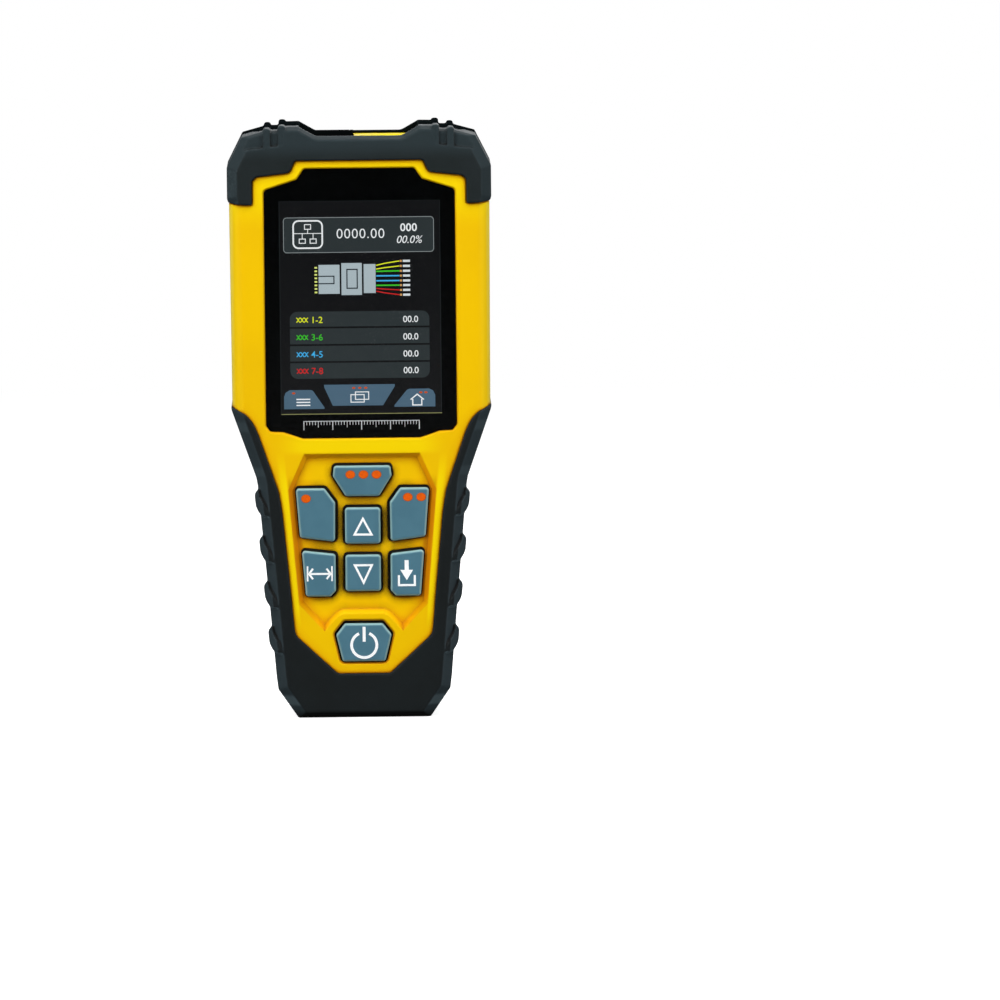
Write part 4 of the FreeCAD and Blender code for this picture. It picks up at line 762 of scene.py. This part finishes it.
# icon in the heading: one node over two
s.ring(round_rect(-22.3, -12.15, 156.7, 166.3, 2.0), round_rect(-21.78, -12.67, 157.22, 165.78, 1.5))
s.ring(rect(-18.4, -16.1, 163.1, 164.95), rect(-18.12, -16.38, 163.38, 164.67))
for x in (-19.05, -15.45):
    s.ring(rect(x - 1.15, x + 1.15, 158.45, 160.15), rect(x - 0.87, x + 0.87, 158.73, 159.87))
    s.poly(rect(x - 0.12, x + 0.12, 160.1, 161.8))
s.poly(rect(-17.37, -17.13, 161.85, 163.15))
s.poly(rect(-21.8, -12.65, 161.72, 161.95))
# heading: plain figures
s.text("0000.00", 0.3, 160.1, 3.25, heavy=-0.006, space=1.09)
s.text("000", 16.3, 162.35, 2.55, heavy=0.016, space=1.05)
s.text("00.0%", 16.35, 158.35, 2.5, lean=0.22)
for z in z_rows[:4]:
    s.text("00.0", 19.25, z + 1.55, 2.1, "RIGHT", heavy=0.006)
# tab signs: list, stack of cards, house
for i in range(3):
    s.poly(rect(-21.6, -17.0, 104.35 + i * 1.0, 104.75 + i * 1.0))
for i in range(2):
    s.ring(rect(-3.6 + i * 1.5, 1.1 + i * 1.5, 105.3 + i * 0.9, 108.1 + i * 0.9), rect(-3.3 + i * 1.5, 0.8 + i * 1.5, 105.6 + i * 0.9, 107.8 + i * 0.9))
s.line([(16.4, 106.1), (18.6, 107.9), (20.8, 106.1)], 0.4)
s.line([(17.1, 106.3), (17.1, 104.3), (20.1, 104.3), (20.1, 106.3)], 0.4)
s.done("screen_white", WHITE_LIT, "case")

# row labels: a twisted pair and plain figures, each in its pair's colour
ROW = {"yellow": rgb(226, 236, 40), "green": rgb(60, 198, 40), "blue": rgb(66, 178, 236), "red": rgb(206, 36, 36)}
for (tone, colour), figures, z in zip(ROW.items(), ("1-2", "3-6", "4-5", "7-8"), reversed(z_rows[:4])):
    s = Flat(P + 0.04, 0.02)
    for sign in (1, -1):
        s.line([(-21.35 + i * 0.15, z + 2.55 + sign * 0.72 * math.sin(i * 0.15 / 3.9 * 3 * math.pi + 0.5 * math.pi)) for i in range(27)], 0.3)
    s.text(figures, -16.5, z + 1.55, 2.1, "LEFT", heavy=0.006)
    s.done("screen_label_" + tone, lit("lit_" + tone, colour), "case")

# plug diagram
SCR = 3.0


def px(x, y):
    """Picture-plane position in the layout grid of the display, in thirds of a millimetre, to millimetres."""
    return ((x - 361.3) / SCR + 0.42, (418.0 - y) / SCR + 100.2)


s = Flat(P + 0.02, 0.02)
s.poly([px(318.7, 293.6), px(339.7, 293.6), px(339.7, 264.6), px(318.7, 264.6)])
s.poly([px(341.5, 295.0), px(361.9, 295.0), px(361.9, 263.0), px(341.5, 263.0)])
s.poly([px(363.7, 293.2), px(375.6, 293.2), px(375.6, 264.2), px(363.7, 264.2)])
s.done("screen_plug", lit("lit_plug_grey", rgb(172, 187, 193)), "case")
s = Flat(P + 0.04, 0.02)
s.line([px(318.6, 276.0), px(334.0, 276.0), px(334.0, 283.4), px(318.6, 283.4)], 0.38)
s.line([px(347.0, 269.4), px(357.2, 269.4), px(357.2, 288.2), px(347.0, 288.2)], 0.4, closed=True)
s.done("screen_plug_lines", lit("lit_plug_line", rgb(36, 44, 50)), "case")
wires = [("yellow", 261.4, 265.6), ("yellow", 266.4, 269.3), ("green", 271.3, 271.6), ("blue", 276.1, 276.1), ("blue", 281.0, 281.0), ("green", 285.6, 285.6),
         ("red", 290.4, 288.6), ("red", 295.2, 291.4)]
for tone in ROW:
    s = Flat(P + 0.04, 0.02)
    for t, end, start in wires:
        if t == tone:
            s.line([px(376.2, start), px(384.5, (start * 0.55 + end * 0.45)), px(399.4, end)], 0.36 if tone in ("yellow", "red") else 0.46)
    s.done("screen_wires_" + tone, lit("lit_wire_" + tone, ROW[tone]), "case")
s = Flat(P + 0.04, 0.02)
for i in range(8):
    y = 267.4 + i * 3.52
    s.poly([px(314.7, y + 0.8), px(317.3, y + 0.8), px(317.3, y - 0.8), px(314.7, y - 0.8)])
s.done("screen_plug_contacts", lit("lit_contact", rgb(226, 238, 128)), "case")
s = Flat(P + 0.04, 0.02)
for t, end, start in wires:
    s.poly([px(399.8, end + 1.0), px(401.8, end + 1.0), px(401.8, end - 1.0), px(399.8, end - 1.0)])
s.done("screen_crimps", lit("lit_crimp", rgb(214, 160, 96)), "case")
s = Flat(P + 0.04, 0.02)
for t, end, start in wires:
    s.poly([px(402.8, end + 1.1), px(410.0, end + 1.1), px(410.0, end - 1.1), px(402.8, end - 1.1)])
s.done("screen_terminals", lit("lit_terminal", rgb(214, 222, 226)), "case")
s = Flat(P + 0.04, 0.02)
s.poly(rect(X0 + 0.2, X1 + 0.0, 101.5, 101.7))
s.done("screen_edge_light", lit("lit_edge", rgb(150, 152, 96)), "case")
s = Flat(P + 0.04, 0.02)
s.ring(rect(X0 + 0.05, X1 - 0.05, 101.75, Z1 - 0.05), rect(X0 + 0.25, X1 - 0.25, 101.76, Z1 - 0.25))
s.done("screen_border", lit("lit_border", rgb(33, 39, 40)), "case")

# ---------------------------------------------------------------- camera, as the photograph: a long lens, a little above
target = Vector((0.0460300, 0.0, 0.0706742))
distance, height = 3.5, math.radians(4.95)
cam = bpy.data.cameras.new("camera")
cam.angle = math.radians(5.4702)
cam.clip_start, cam.clip_end = 0.05, 60.0
camera = bpy.data.objects.new("camera", cam)
bpy.context.scene.collection.objects.link(camera)
camera.location = (0.0, -distance * math.cos(height), 0.1 + distance * math.sin(height))
look = (target - camera.location).to_track_quat("-Z", "Y").to_matrix().to_4x4()
camera.matrix_world = Matrix.Translation(camera.location) @ look @ Matrix.Rotation(math.radians(-0.555), 4, "Z")
bpy.context.scene.camera = camera

# ---------------------------------------------------------------- studio: pale floor that runs out into a white surround
floor_mesh = bpy.data.meshes.new("floor")
fb = bmesh.new()
bmesh.ops.create_circle(fb, cap_ends=True, segments=96, radius=9.0)
fb.to_mesh(floor_mesh)
fb.free()
g = Graph("pale_floor")
far = g.node("ShaderNodeVectorMath", operation="LENGTH")
g.put(far.inputs[0], g.where["Object"])
away = g.span(far.outputs["Value"], 0.35, 1.3)
grain = g.noise(0.02, 3, 0.6)
g.shader(Base_Color=g.mix(g.span(grain, 0.3, 0.7), (0.86, 0.86, 0.86, 1), (0.88, 0.88, 0.88, 1)), Roughness=0.7, Specular_IOR_Level=0.2)
glow = g.node("ShaderNodeEmission")
glow.inputs[0].default_value = (1, 1, 1, 1)
glow.inputs[1].default_value = 0.72
near = g.node("ShaderNodeAddShader")
g.put(near.inputs[0], g.p.outputs[0])
g.put(near.inputs[1], glow.outputs[0])
white = g.node("ShaderNodeEmission")
white.inputs[0].default_value = (1, 1, 1, 1)
blend = g.node("ShaderNodeMixShader")
g.put(blend.inputs[0], away)
g.put(blend.inputs[1], near.outputs[0])
g.put(blend.inputs[2], white.outputs[0])
grey = g.node("ShaderNodeBsdfDiffuse")
grey.inputs[0].default_value = (0.06, 0.06, 0.06, 1)
ray = g.node("ShaderNodeLightPath")
choose = g.node("ShaderNodeMixShader")
g.put(choose.inputs[0], ray.outputs["Is Camera Ray"])
g.put(choose.inputs[1], grey.outputs[0])
g.put(choose.inputs[2], blend.outputs[0])
g.put(g.out.inputs[0], choose.outputs[0])
floor_mesh.materials.append(g.m)
floor = bpy.data.objects.new("floor", floor_mesh)
bpy.context.scene.collection.objects.link(floor)
floor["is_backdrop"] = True

world = bpy.data.worlds.new("surround")
world.use_nodes = True
wt = world.node_tree
wt.nodes.clear()
w_out = wt.nodes.new("ShaderNodeOutputWorld")
seen = wt.nodes.new("ShaderNodeBackground")
seen.inputs[0].default_value = (1, 1, 1, 1)
seen.inputs[1].default_value = 1.0
lights = wt.nodes.new("ShaderNodeBackground")
w_dir = wt.nodes.new("ShaderNodeTexCoord")
w_sep = wt.nodes.new("ShaderNodeSeparateXYZ")
wt.links.new(w_dir.outputs["Generated"], w_sep.inputs[0])
w_map = wt.nodes.new("ShaderNodeMapRange")
w_map.interpolation_type = "SMOOTHSTEP"
wt.links.new(w_sep.outputs[1], w_map.inputs["Value"])
for k, v in (("From Min", -0.85), ("From Max", 0.1), ("To Min", 0.04), ("To Max", 0.40)):
    w_map.inputs[k].default_value = v
wt.links.new(w_map.outputs[0], lights.inputs[1])
lights.inputs[0].default_value = (0.97, 0.98, 1.0, 1)
path = wt.nodes.new("ShaderNodeLightPath")
w_mix = wt.nodes.new("ShaderNodeMixShader")
wt.links.new(path.outputs["Is Camera Ray"], w_mix.inputs[0])
wt.links.new(lights.outputs[0], w_mix.inputs[1])
wt.links.new(seen.outputs[0], w_mix.inputs[2])
wt.links.new(w_mix.outputs[0], w_out.inputs[0])
bpy.context.scene.world = world


def softbox(name, at, towards, wide, tall, watts, tint=(1, 1, 1)):
    lamp = bpy.data.lights.new(name, "AREA")
    lamp.shape = "RECTANGLE"
    lamp.size, lamp.size_y = wide, tall
    lamp.energy = watts
    lamp.color = tint
    ob = bpy.data.objects.new(name, lamp)
    bpy.context.scene.collection.objects.link(ob)
    ob.location = at
    ob.rotation_euler = (Vector(towards) - Vector(at)).to_track_quat("-Z", "Y").to_euler()
    ob.visible_camera = False
    return ob


softbox("key_left", (-1.0, -1.15, 0.75), (0, 0, 0.1), 0.9, 1.1, 16.2)
softbox("fill_right", (1.15, -1.0, 0.45), (0, 0, 0.1), 0.8, 1.1, 11.2)
softbox("overhead", (0.0, -0.75, 1.35), (0, 0, 0.1), 1.2, 0.7, 12.0)
softbox("behind", (0.3, 1.5, 0.7), (0, 0, 0.1), 1.2, 1.0, 7.5)

view = bpy.context.scene.view_settings
view.view_transform = "Standard"
view.look = "None"
view.exposure = 0.0
view.gamma = 1.0

visual_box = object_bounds()


def plain_lists(x):
    if isinstance(x, dict):
        return {k: plain_lists(v) for k, v in x.items()}
    if isinstance(x, (int, float, str)):
        return x
    return [plain_lists(v) for v in x]


{"cad": plain_lists(cad_box), "visual": plain_lists(visual_box)}
